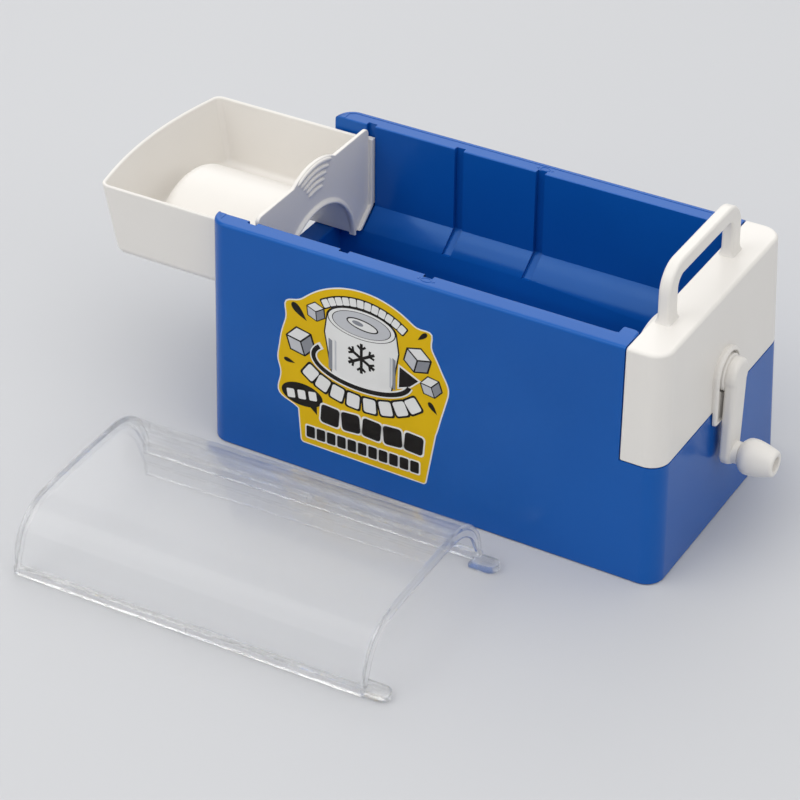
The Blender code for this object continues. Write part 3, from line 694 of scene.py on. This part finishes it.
def build_sticker():
    """The sticker on the near wall: a can, ice, a turning arrow and rows of plain blocks."""
    outline = sticker_outline()
    base = make_object("sticker_base", film(outline, 0.02, 0.16), PAPER)
    settle(base, "trough", "label_print", "front_label")
    yellow = make_object("sticker_ground", film(inset(outline, 0.7), 0.15, 0.22), YELLOW)
    settle(yellow, "trough", "label_print")
    layers = {"ink": [], "paper": [], "grey": [], "pale": []}
    depth = {"ink": 0.28, "paper": 0.34, "pale": 0.40, "grey": 0.46}

    def draw(tone, shape, rise=0.0):
        layers[tone].append(film(shape, 0.20, depth[tone] + rise))

    draw_can(draw, LABEL_X)
    draw_arrow(draw, LABEL_X)
    cubes = ((-72.0, 77.0, 8.4, 0.30), (-62.8, 97.0, 5.6, 0.1), (-4.6, 87.6, 7.8, -0.25),
             (3.2, 74.6, 6.2, 0.35))
    for cube in cubes:
        for tone, shape in cube_faces(*cube):
            draw(tone, shape)
    drops = ((-72.4, 93.8, 6.0, 0.8), (-78.6, 63.4, 3.4, 1.4), (-2.2, 101.4, 3.6, -0.8),
             (4.4, 62.4, 3.9, 0.7))
    for shape in drops:
        draw("ink", drop(*shape))
    bubble = ellipse(-71.4, 45.4, 12.2, 6.6)
    draw("ink", bubble)
    draw("ink", [(-68.5, 41.0), (-62.8, 42.0), (-62.6, 36.0)], 0.004)
    for shape in pads([(-80.5, 44.0), (-75.6, 44.8), (-67.6, 46.0), (-62.6, 46.8)], 2.3, 2.6):
        draw("paper", shape)
    rows = (
        (arc((LABEL_X, LABEL_Z), 41.0, 123, 53, 12), 1.9, 2.2, "paper", 0.75),
        (ellipse(LABEL_X, 76.5, 39.5, 25.0, 214, 326, 8), 3.6, 4.0, "paper", 1.1),
        ([(-61.0 + 12.2 * i, 38.6 - 0.9 * (i % 2)) for i in range(6)], 5.4, 5.4, "ink", 0.9),
        ([(-69.5 + 6.1 * i, 24.6) for i in range(12)], 2.5, 3.4, "ink", 0.8),
    )
    for path, half_width, half_height, tone, edge in rows:
        border = "ink" if tone == "paper" else "paper"
        for shape in pads(path, half_width + edge, half_height + edge):
            draw(border, shape, 0.0 if border == "ink" else -0.04)
        for shape in pads(path, half_width, half_height):
            draw(tone, shape, 0.12 if tone == "ink" else 0.0)
    tones = {"ink": INK, "paper": PAPER, "grey": GREY, "pale": PALE}
    for tone, parts in layers.items():
        settle(make_object(f"sticker_{tone}", merge(*parts), tones[tone]), "trough", "label_print")


# ---- divider and tray

def tray_ring(z, inset_by, floor_share, right):
    """Plan of the tray at a height: straight sides and a bowed, drafted left end."""
    half = TRAY_HALF_WIDTH - inset_by - 1.4 * floor_share
    left = TRAY_LEFT_X + inset_by + 6.5 * floor_share
    radius = max(5.5 - inset_by, 2.0)
    flat = half - radius
    slope = degrees(atan(2 * TRAY_BOW / flat))
    end = []
    for i in range(1, 24):
        y = flat * (1 - i / 12)
        end.append((left - TRAY_BOW * (1 - (y / flat) ** 2), y))
    points = [(right, half), (-130.0, half), (-160.0, half)]
    points += arc((left + radius, flat), radius, 90, 180 - slope * 0.5, 8)
    points += end
    points += arc((left + radius, -flat), radius, 180 + slope * 0.5, 270, 8)
    points += [(-160.0, -half), (-130.0, -half), (right, -half)]
    return [(x, y, z) for x, y in points]


def build_tray():
    outer_right, inner_right = PLATE_X + 1.2, PLATE_X - 0.15
    floor = TRAY_FLOOR_Z + TRAY_WALL
    rows = [(TRAY_FLOOR_Z + rise, back, outer_right) for rise, back in quarter_round(5.0, 6)]
    lip = quarter_round(0.95, 4)
    rows += [(TRAY_RIM_Z - rise, back, outer_right) for rise, back in reversed(lip)]
    rows += [(TRAY_RIM_Z - rise, TRAY_WALL - back, inner_right) for rise, back in lip]
    rows += [(floor + rise, TRAY_WALL + back, inner_right) for rise, back in reversed(quarter_round(3.6, 6))]
    rings = []
    for z, inset_by, right in rows:
        share = (TRAY_RIM_Z - z) / (TRAY_RIM_Z - TRAY_FLOOR_Z)
        rings.append(tray_ring(z, inset_by, share, right))
    tray = make_object("tray_bin", loft(rings), WHITE)
    combine(tray, [tunnel_solid(ARCH_RADIUS + 1.1, TRAY_LEFT_X + 9.6, PLATE_X + 3.0, 60.0)])
    settle(tray, "divider", "white_abs", "divider_tray")
    shell = make_object("tray_tunnel", tunnel_shell(), WHITE)
    settle(shell, "divider", "white_abs", sharp=50)


DOME = 0.42


def tunnel_rings(profile, left, right):
    """Sweep a (rho, z) profile along the tunnel: straight sides and an elliptical left dome."""
    biggest = max(rho for rho, _ in profile)
    centre = left + biggest * DOME
    turns = [radians(90 + 180 * i / 24) for i in range(25)]
    rings = []
    for x in [right, -125.0, -145.0, -165.0]:
        rings.append([(x, rho, z) for rho, z in profile])
    for a in turns:
        rings.append([(centre + DOME * rho * cos(a), rho * sin(a), z) for rho, z in profile])
    for x in [-165.0, -145.0, -125.0, right]:
        rings.append([(x, -rho, z) for rho, z in profile])
    return rings


def sheet_from(rings, foot=False):
    """A skin over the rings with its flat right end closed, and its flat foot too if asked."""
    bm = bmesh.new()
    rows = [[bm.verts.new(p) for p in ring] for ring in rings]
    for low, high in zip(rows, rows[1:]):
        for i in range(len(low) - 1):
            bm.faces.new((low[i], low[i + 1], high[i + 1], high[i]))
    bm.faces.new(rows[0] + rows[-1][::-1])
    if foot:
        bm.faces.new([row[0] for row in rows])
    bmesh.ops.remove_doubles(bm, verts=bm.verts, dist=0.001)
    bmesh.ops.dissolve_degenerate(bm, edges=bm.edges, dist=0.0005)
    return bm


def tunnel_solid(radius, left, right, bottom):
    """A closed solid of the tunnel's hollow, for cutting."""
    profile = [(radius * cos(radians(a)), CAN_AXIS_Z + radius * sin(radians(a)))
               for a in range(0, 91, 6)]
    profile = [(radius, bottom)] + profile
    profile[-1] = (0.0, profile[-1][1])
    return sheet_from(tunnel_rings(profile, left, right), foot=True)


def tunnel_shell():
    """Arched wall of the tunnel with a flared foot that runs into the tray's floor."""
    radius = ARCH_RADIUS + 2.2
    flare = 4.5
    floor = TRAY_FLOOR_Z + TRAY_WALL + 0.02
    centre_z = floor + flare
    centre_rho = sqrt((radius + flare) ** 2 - (centre_z - CAN_AXIS_Z) ** 2)
    touch = degrees(asin((centre_z - CAN_AXIS_Z) / (radius + flare)))
    profile = []
    for i in range(17):
        a = radians(90 - (90 - touch) * i / 16)
        profile.append((radius * cos(a), CAN_AXIS_Z + radius * sin(a)))
    for i in range(1, 8):
        a = radians(180 + touch + (90 - touch) * i / 7)
        profile.append((centre_rho + flare * cos(a), centre_z + flare * sin(a)))
    profile += [(centre_rho, TRAY_FLOOR_Z + 1.0), (radius - 0.1, TRAY_FLOOR_Z + 0.8)]
    for z in (TRAY_FLOOR_Z, TUNNEL_Z + 0.4):
        profile.append((sqrt(radius ** 2 - (z - CAN_AXIS_Z) ** 2), z))
    profile.append((radius - 0.4, TUNNEL_Z))
    inner_foot = degrees(asin((TUNNEL_Z - CAN_AXIS_Z) / ARCH_RADIUS))
    for i in range(17):
        a = radians(inner_foot + (90 - inner_foot) * i / 16)
        profile.append((ARCH_RADIUS * cos(a), CAN_AXIS_Z + ARCH_RADIUS * sin(a)))
    profile[-1] = (0.0, profile[-1][1])
    profile[0] = (0.0, profile[0][1])
    left = TRAY_LEFT_X + 9.0 - flare * 0.3
    return sheet_from(tunnel_rings(profile, left, PLATE_X + 0.8))


def plate_outline():
    side = [(ARCH_RADIUS + 0.03, PLATE_BOTTOM_Z), (40.4, PLATE_BOTTOM_Z), (52.9, 84.0)]
    side += arc((49.8, HEIGHT - 3.2), 3.2, 0, 90, 5)
    bump = arc(THUMB_CENTRE, THUMB_RADIUS, 59.8, 120.2, 26)
    arch = arc((0.0, CAN_AXIS_Z), ARCH_RADIUS, 177.6, 2.4, 48)
    return mirrored(side, bump) + arch[1:-1]


def bar_sweep(path, half_width, height, base_x):
    """A raised bar along a (y, z) path on a wall at base_x, round in section, with round ends."""
    rings = []
    count = len(path)
    for i, (y, z) in enumerate(path):
        along = heading(path, i)
        across = Vector((-along.y, along.x))
        reach = min(i, count - 1 - i)
        size = min(1.0, sqrt(max(1 - (1 - min(reach, 3) / 3.0) ** 2, 0.02)))
        ring = []
        for k in range(9):
            a = pi * k / 8
            off = across * (half_width * size * cos(a))
            ring.append((base_x + height * size * sin(a), y + off.x, z + off.y))
        ring.append((base_x - 0.6, ring[-1][1], ring[-1][2]))
        ring.append((base_x - 0.6, ring[0][1], ring[0][2]))
        rings.append(ring)
    return loft(rings)


def arch_lip(face):
    """The rolled lip round the arch: a fillet up from the plate and a round crest over to the hollow."""
    crest, reach = 1.7, 3.2
    section = [(PLATE_X + 0.9, ARCH_RADIUS), (face + crest - 0.9, ARCH_RADIUS)]
    section += [(face + crest - 0.9 + 0.9 * sin(radians(a)),
                 ARCH_RADIUS + 0.9 - 0.9 * cos(radians(a))) for a in (30, 60, 90, 120, 150)]
    section += [(face + crest * (1 - k / 6) ** 2 * 0.85, ARCH_RADIUS + 1.75 + (reach - 1.5) * k / 6)
                for k in range(1, 7)]
    section.append((PLATE_X + 0.9, ARCH_RADIUS + reach + 0.25))
    turns = [radians(2.4 + (177.6 - 2.4) * i / 48) for i in range(49)]
    return loft([[(x, r * cos(a), CAN_AXIS_Z + r * sin(a)) for x, r in section] for a in turns])


def build_divider():
    face = PLATE_X + PLATE_THICKNESS
    parts = [plate(plate_outline(), PLATE_X, face, 0.55, 0.55, steps=3)]
    parts.append(arch_lip(face))
    divider = make_object("divider_plate", merge(*parts), WHITE)
    settle(divider, "divider", "white_abs")
    ridges = []
    for i in range(5):
        radius = THUMB_RADIUS - 1.8 - 3.5 * i
        spread = 26.0 - 2.4 * i
        path = arc(THUMB_CENTRE, radius, 90 - spread, 90 + spread, 22)
        ridges.append(bar_sweep(path, 1.3, 1.1, face - 0.05))
    settle(make_object("divider_ridges", merge(*ridges), WHITE), "divider", "white_abs")
    flanges = []
    for side in (-1, 1):
        outer = [(55.2, HEIGHT - 7.0), (53.3, 83.6), (41.5, 74.7)]
        inner = [(39.2, 74.9), (51.3, 84.6), (53.0, HEIGHT - 7.0)]
        strip = [(side * y, z) for y, z in outer + inner]
        flanges.append(plate(strip, PLATE_X + 0.3, PLATE_X + 4.2, 0.4, 0.55, steps=3))
        key = [(53.5, 122.8), (57.9, 122.8), (56.2, 84.0), (53.0, 84.0)]
        strip = [(side * y, z) for y, z in key]
        strip = rounded(strip, [0.4, 1.6, 1.6, 0.4])
        flanges.append(plate(strip, PLATE_X - 0.25, PLATE_X + 4.0, 0.5, 0.5, steps=3))
    settle(make_object("divider_edges", merge(*flanges), WHITE), "divider", "white_abs")


# ---- lid

def lid_path():
    """Outer line of the arch from the near foot to the far foot: (y, z, inward normal)."""
    half, flat, foot, crown = LID_WIDTH / 2, LID_FLAT, LID_FOOT, LID_HEIGHT
    side = [(half, 0.4), (half, 3.5), (half, foot)]
    for i in range(1, 17):
        angle = radians(90 * i / 17)
        side.append((flat + (half - flat) * cos(angle), foot + (crown - 0.6 - foot) * sin(angle)))
    side += [(flat * (1 - i / 4), crown - 0.6 + 0.6 * (1 - (1 - i / 4) ** 2)) for i in range(5)]
    points = [Vector(p) for p in side] + [Vector((-y, z)) for y, z in reversed(side[:-1])]
    path = []
    for i, point in enumerate(points):
        along = heading(points, i)
        path.append((point, Vector((-along.y, along.x))))
    return path


def lid_profile(depth):
    """Channel-shaped section along the lid: (x, distance inwards)."""
    half = LID_LENGTH / 2
    inner = half - LID_WALL
    corners = [(-half, 0.0), (half, 0.0), (half, depth), (inner, depth), (inner, LID_WALL),
               (-inner, LID_WALL), (-inner, depth), (-half, depth)]
    tip = 0.85
    return rounded(corners, [1.5, 1.5, tip, tip, 1.0, 1.0, tip, tip], 4)


def build_lid():
    rings = []
    for point, normal in lid_path():
        share = min(max((point.y - 3.0) / 12.0, 0.0), 1.0)
        depth = LID_WALL + 1.9 + 2.7 * share * share * (3 - 2 * share)
        rings.append([(x, point.x + normal.x * n, point.y + normal.y * n) for x, n in lid_profile(depth)])
    lid = make_object("lid_shell", loft(rings), CLEAR)
    half = LID_LENGTH / 2
    parts = []
    for side in (-1, 1):
        edge = side * LID_WIDTH / 2
        parts.append(box(-half - 0.3, half + 0.3, edge - side * 3.4, edge + side * 0.5, 0.0, 5.6, 0.9))
        parts.append(box(-1.6, 1.6, edge - side * 2.0, edge + side * 1.3, 1.2, 5.0, 0.6))
        tab = rectangle(half - 3, half + 11.6, edge - side * 9.6, edge - side * 0.3)
        parts.append(plate(rounded(tab, [0, 4.4, 4.0, 0], 7), 0.2, 4.4, 1.0, 1.2, "Z"))
    low, high = LID_HEIGHT - 0.65, LID_HEIGHT + 0.25
    parts.append(oval_ring((1.7, -2.8), (1.0, 0.7), [(2.9, low), (2.7, high), (1.8, high), (1.6, low)], 24))
    combine(lid, parts, "UNION")
    lid.data.materials.clear()
    lid.data.materials.append(CLEAR)
    lid.data.materials.append(CLEAR_EDGE)
    for face in lid.data.polygons:
        thick = abs(face.center.x) > (half - LID_WALL - 0.2) * MM or face.center.z < 6.0 * MM
        face.material_index = 1 if thick else 0
    move = Matrix.Translation(Vector((*LID_CENTRE, 0.0)) * MM) @ Matrix.Rotation(LID_TURN, 4, "Z")
    lid.data.transform(move)
    return settle(lid, "lid", "clear_ps", "clear_lid", sharp=32)


# ---- drive unit

def housing_form():
    """The housing's outer block: tapered sides, rounded top, square inner side."""
    soft = 1.9

    def ring(z, extra):
        x1, half_y = (size - extra for size in half_size(z))
        x0 = NOTCH_X + GAP + min(extra, soft) * 0.5
        radius = SKIRT_CORNER - extra * 0.5
        edge = max(1.2 - extra * 0.2, 0.4)
        points = arc((x1 - radius, half_y - radius), radius, 0, 90, 12)
        points += arc((x0 + edge, half_y - edge), edge, 90, 180, 4)
        points += arc((x0 + edge, -half_y + edge), edge, 180, 270, 4)
        points += arc((x1 - radius, -half_y + radius), radius, 270, 360, 12)
        return [(x, y, z) for x, y in points]
    rings = [ring(NOTCH_Z + GAP + rise, back) for rise, back in quarter_round(0.8, 4)]
    rings += [ring(HEIGHT - rise, back) for rise, back in reversed(quarter_round(soft, 6))]
    return loft(rings)


def boss_outline(radius, bottom, corner=0.0):
    top = arc((0.0, CRANK_AXIS_Z), radius, 0, 180, 28)
    foot = [(-radius, bottom), (radius, bottom)]
    if corner:
        foot = arc((-radius + corner, bottom + corner), corner, 180, 270, 4)
        foot += arc((radius - corner, bottom + corner), corner, 270, 360, 4)
    return top + foot


def drop_case_outline(offset):
    half = 31.8 + offset
    bottom = 55.0 - offset
    return [(half, 75.0), (half, 66.0), (half - 9, bottom), (-half + 9, bottom), (-half, 66.0), (-half, 75.0)]


def flared_mouth(outline, floor, top, lip):
    """A cutter whose opening widens in a quarter round at the surface."""
    rings = [on_axis(outline, floor, "X")]
    for rise, back in reversed(quarter_round(lip, 4)):
        rings.append(on_axis(inset(outline, -back), top - rise, "X"))
    rings.append(on_axis(inset(outline, -lip), top + 3.0, "X"))
    return loft(rings)


def build_housing():
    housing = make_object("drive_housing", housing_form(), WHITE)
    axis = (0.0, CRANK_AXIS_Z)
    combine(housing, [
        plate(rounded(drop_case_outline(2.0), [0, 2, 3, 3, 2, 0], 4), NOTCH_X + GAP, 117.5, 0.5, 1.0),
        plate(boss_outline(12.8, 68.6), END_X - 1.0, END_X + 2.5, 0, 0),
        plate(boss_outline(13.0, 60.3, 2.0), END_X + 1.9, END_X + 4.0, 0, 1.5, steps=6),
    ], "UNION")
    gear_room = rectangle(-45.0, 45.0, 72.0, 119.5)
    combine(housing, [
        prism(gear_room, NOTCH_X - 1, END_X - 2.6),
        prism(drop_case_outline(0.0), NOTCH_X - 1, 115.5),
        box(108.6, END_X - 3.6, -61.4, -47.4, NOTCH_Z - 1, HEIGHT - 4),
        box(108.6, END_X - 3.6, 47.4, 61.4, NOTCH_Z - 1, HEIGHT - 4),
        flared_mouth(boss_outline(10.9, 62.0, 1.0), END_X + 2.8, END_X + 4.0, 0.55),
        rod([(END_X + 1.2, 10.7), (END_X + 3.5, 10.7)], axis, 64),
    ])
    combine(housing, [rod([(END_X - 6.0, 9.1), (END_X - 1.8, 9.1)], axis, 48)], "UNION")
    combine(housing, [rod([(END_X - 7.0, 7.1), (END_X + 2.0, 7.1)], axis, 48)])
    return settle(housing, "drive_unit", "white_abs", "gear_housing")


def handle_path():
    """Centre line of the carry handle: (y, z, half thickness)."""
    leg, bar, radius = 34.7, 155.2, 9.8
    foot = ((-1.0, 6.3), (0.4, 5.7), (1.6, 5.15), (4.0, 4.9), (10.0, 4.85))
    right = [(leg, HEIGHT + rise, half) for rise, half in foot]
    for i in range(13):
        a = radians(90 * i / 12)
        y, z = leg - radius + radius * cos(a), bar - radius + radius * sin(a)
        right.append((y, z, 4.75 - 0.55 * i / 12))
    right.append((12.0, bar, 4.2))
    return right + [(-y, z, h) for y, z, h in reversed(right)]


def build_handle():
    path = handle_path()
    mid_x, half_x = 111.6, 3.2
    rings = []
    for i, (y, z, half) in enumerate(path):
        along = heading(path, i)
        across = Vector((-along.y, along.x))
        grow = max(half - 4.9, 0.0)
        section = rounded(rectangle(-half_x - grow, half_x + grow, -half, half), 1.6, 5)
        rings.append([(mid_x + a, y + across.x * b, z + across.y * b) for a, b in section])
    handle = make_object("carry_handle", loft(rings), WHITE)
    return settle(handle, "drive_unit", "white_abs")


def cover_outline(offset):
    side = [(47.0 + offset, 121.5), (47.0 + offset, 84.0), (38.0 + offset, 75.5), (34.5 + offset, 66.0)]
    side += [(25.5 + offset, 51.8)]
    return mirrored(side)


SCREW_PLACES = ((-41.0, 116.5), (41.0, 116.5), (-36.6, 80.2), (36.6, 80.2))


def build_cover():
    axis = (0.0, CAN_AXIS_Z)
    outline = rounded(cover_outline(0.0), [3, 3, 3, 6, 4, 4, 6, 3, 3, 3], 4)
    cover = make_object("drive_cover", plate(outline, COVER_X, COVER_X + COVER_THICKNESS, 0.6, 0), WHITE)
    rim = rounded(inset(cover_outline(0.0), 4.0), 1.5, 3)
    combine(cover, [plate(rim, COVER_X - 2.0, COVER_X + 0.5, 0, 0.3)])
    low, high = COVER_X - 1.9, COVER_X + COVER_THICKNESS
    boss = rounded([(low, 8.2), (low, 10.6), (high, 11.2), (high, 8.2)], 0.3)
    combine(cover, [turned(boss, axis, 64)], "UNION")
    cuts = [rod([(COVER_X - 4.0, 7.1), (COVER_X + 6.0, 7.1)], axis, 48)]
    for y, z in SCREW_PLACES:
        cuts.append(rod([(COVER_X - 1, 3.4), (COVER_X + 0.9, 3.4)], (y, z), 32))
        cuts.append(rod([(COVER_X, 1.9), (COVER_X + 4, 1.9)], (y, z), 24))
    combine(cover, cuts)
    return settle(cover, "drive_unit", "white_abs", "inner_cover")


def ribs(count, radius, profile, segments):
    """Thin bars along the can axis, evenly spaced round it."""
    made = []
    for a in around(count):
        centre = (radius * cos(a), CAN_AXIS_Z + radius * sin(a))
        made.append(rod(profile, centre, segments))
    return made


def build_can_cup():
    """The cup that grips the can: outer ribs, a rolled mouth and a rubber liner."""
    axis = (0.0, CAN_AXIS_Z)
    x, outer = HOLDER_X, HOLDER_RADIUS
    inner = outer - HOLDER_WALL
    back = x + HOLDER_DEPTH
    floor = back - HOLDER_WALL
    profile = rounded([(x, inner), (x, outer), (back, outer), (back, 1.9), (floor, 1.9), (floor, inner)],
                      [0.8, 0.8, 1.6, 0, 0, 1.0], 4)
    hub = rounded([(back - 0.5, 5.3), (back - 0.5, 8.0), (back + 1.2, 8.0), (back + 1.2, 5.3)], 0.3, 3)
    parts = [turned(profile, axis, 96), turned(hub, axis, 48)]
    parts += ribs(24, outer - 0.4, [(x + 1.6, 0.4), (x + 2.0, 0.65), (floor, 0.65), (floor + 0.4, 0.4)], 10)
    settle(make_object("can_cup", merge(*parts), WHITE), "can_turner", "white_abs", "can_holder")
    skin, base = inner - GAP, floor - GAP
    front = base - 1.7
    liner = rounded([(x + 0.7, skin - 1.3), (x + 0.7, skin), (base, skin), (base, 5.0), (front, 5.0),
                     (front, skin - 1.3)], [0.5, 0.5, 0.6, 0.3, 0.3, 0.6], 3)
    parts = [turned(liner, axis, 96)]
    parts += ribs(8, skin - 1.5, [(x + 1.6, 0.7), (x + 2.0, 1.1), (front + 0.2, 1.1), (front + 0.6, 0.7)], 16)
    for radius in (12.0, 17.0, 22.0):
        ring = [(front - 0.4, radius), (front - 0.4, radius + 1.2), (front + 0.3, radius + 1.4),
                (front + 0.3, radius - 0.2)]
        parts.append(turned(rounded(ring, 0.15, 2), axis, 72))
    settle(make_object("can_liner", merge(*parts), RUBBER), "can_turner", "rubber", "can_grip")


# ---- crank

def tilted(bm):
    turn = Matrix.Translation((0, 0, CRANK_AXIS_Z)) @ Matrix.Rotation(CRANK_TILT, 4, "X")
    bmesh.ops.transform(bm, matrix=turn @ Matrix.Translation((0, 0, -CRANK_AXIS_Z)), verts=bm.verts)
    return bm


def build_crank():
    hub = arc((0.0, CRANK_AXIS_Z), 8.8, -30, 210, 34)
    end = arc((0.0, CRANK_AXIS_Z - CRANK_LENGTH), 7.0, 184, 356, 26)
    arm = plate(hub + end, END_X + 4.5, END_X + 10.5, 1.6, 2.5, steps=6)
    axis = (0.0, CRANK_AXIS_Z)
    knob_axis = (0.0, CRANK_AXIS_Z - CRANK_LENGTH)
    disc = rod([(END_X + 1.6, 9.0), (END_X + 1.9, 9.6), (END_X + 4.4, 9.6), (END_X + 5.2, 8.2)],
                  axis, 64)
    shaft = rod([(119.9, 4.7), (120.2, 5.0), (END_X + 2.0, 5.0)], axis, 40)
    flats = rectangle(-3.2, 3.2, CRANK_AXIS_Z - 3.2, CRANK_AXIS_Z + 3.2)
    square = plate(rounded(flats, 0.5, 3), 116.8, 120.5, 0.3, 0)
    stub = rod([(END_X + 10.0, 6.4), (END_X + 10.6, 5.8), (END_X + 13.3, 5.6), (END_X + 13.6, 5.3)],
                  knob_axis, 48)
    crank = make_object("crank_handle", tilted(merge(arm, disc, shaft, square, stub)), WHITE)
    return settle(crank, "crank", "white_abs", "crank_arm")


def build_knob():
    x = END_X + 13.9
    axis = (0.0, CRANK_AXIS_Z - CRANK_LENGTH)
    mouth = [(0.0, 2.4), (0.0, 6.0), (0.25, 6.7), (0.8, 7.25), (1.6, 8.0), (2.6, 8.75), (3.8, 9.2)]
    waist = [(5.4, 9.35), (7.6, 9.25), (10.0, 8.85), (12.5, 8.25), (15.0, 7.55), (17.0, 6.95)]
    end = [(17.9, 6.6), (18.4, 6.1), (18.6, 5.4), (18.6, 4.6), (18.4, 4.15), (17.9, 3.95)]
    bore = [(12.4, 3.9), (12.4, 2.4)]
    outer = [(x + along, radius) for along, radius in mouth + waist + end + bore]
    knob = make_object("crank_grip", tilted(turned(outer, axis, 72)), WHITE)
    settle(knob, "knob", "white_abs", "crank_knob", sharp=45)


# ---- carried-over CAD nodes

def dress_nodes():
    looks = (
        (RUBBER, ("cover_gasket", "shaft_seal")),
        (ACETAL, ("crank_bush", "output_bush", "ring_gear", "output_pinion")),
        (STEEL, ("crank_screw", "crank_washer", "holder_screw", "holder_washer")),
        (STEEL, [f"cover_screw_{i}" for i in (1, 2, 3, 4)]),
        (WHITE, ("knob_pin",)),
    )
    for material, names in looks:
        for name in names:
            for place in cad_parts[name].material_slots:
                place.material = material


# ---- stage, light and camera

def build_stage():
    bm = bmesh.new()
    bmesh.ops.create_grid(bm, x_segments=2, y_segments=2, size=4000.0)
    bmesh.ops.translate(bm, vec=(0, 0, -0.05), verts=bm.verts)
    material, shader = new_material("pale_floor", (0.575, 0.582, 0.602), 0.6)
    cloud = add_noise(material, 2.0, 2.0)
    vary_colour(material, shader, cloud, (0.571, 0.578, 0.598), (0.579, 0.586, 0.606))
    floor = make_object("floor", bm, material)


def area_light(name, place, target, size, power, colour=(1, 1, 1)):
    data = bpy.data.lights.new(name, "AREA")
    data.shape = "RECTANGLE"
    data.size, data.size_y = size
    data.energy = power
    data.color = colour
    lamp = bpy.data.objects.new(name, data)
    bpy.context.scene.collection.objects.link(lamp)
    lamp.location = place
    lamp.rotation_euler = (Vector(target) - Vector(place)).to_track_quat("-Z", "Y").to_euler()
    return lamp


def build_light():
    world = bpy.data.worlds.new("studio")
    world.use_nodes = True
    back = world.node_tree.nodes["Background"]
    back.inputs["Color"].default_value = (0.97, 0.985, 1.0, 1.0)
    back.inputs["Strength"].default_value = 0.56
    bpy.context.scene.world = world
    area_light("overhead_box", (0.0, -0.1, 1.9), (0.0, -0.08, 0.0), (2.6, 2.6), 18.5, (1.0, 0.985, 0.965))
    area_light("back_box", (-0.80, 1.30, 1.10), (-0.02, -0.05, 0.05), (2.0, 1.1), 7.5, (1.0, 0.99, 0.97))
    area_light("front_box", (-0.80, -1.10, 1.35), (-0.05, -0.10, 0.05), (1.5, 1.2), 8.0, (1.0, 0.985, 0.96))
    area_light("side_box", (1.3, -0.45, 1.2), (0.02, -0.05, 0.08), (1.2, 1.0), 3.7, (1.0, 0.97, 0.93))


def build_camera():
    """The main view: a long lens, from the right and above."""
    azimuth, elevation, roll = radians(31.008), radians(34.719), radians(-0.777)
    right = Vector((cos(azimuth), sin(azimuth), 0.0))
    back = Vector((sin(azimuth) * cos(elevation), -cos(azimuth) * cos(elevation),
                   sin(elevation)))
    up = back.cross(right)
    across = right * cos(roll) + up * sin(roll)
    above = up * cos(roll) - right * sin(roll)
    data = bpy.data.cameras.new("camera")
    data.sensor_width = 36.0
    data.lens = 127.0
    data.clip_end = 20.0
    camera = bpy.data.objects.new("camera", data)
    bpy.context.scene.collection.objects.link(camera)
    place = Matrix((across, above, back)).transposed().to_4x4()
    place.translation = (0.5741, -1.0478, 0.8527)
    camera.matrix_world = place
    bpy.context.scene.camera = camera


bpy.context.scene.view_settings.view_transform = "Standard"
build_camera()
build_light()
build_stage()
build_trough()
build_rim_marks()
build_sticker()
build_tray()
build_divider()
build_lid()
build_housing()
build_handle()
build_cover()
build_can_cup()
build_crank()
build_knob()
dress_nodes()
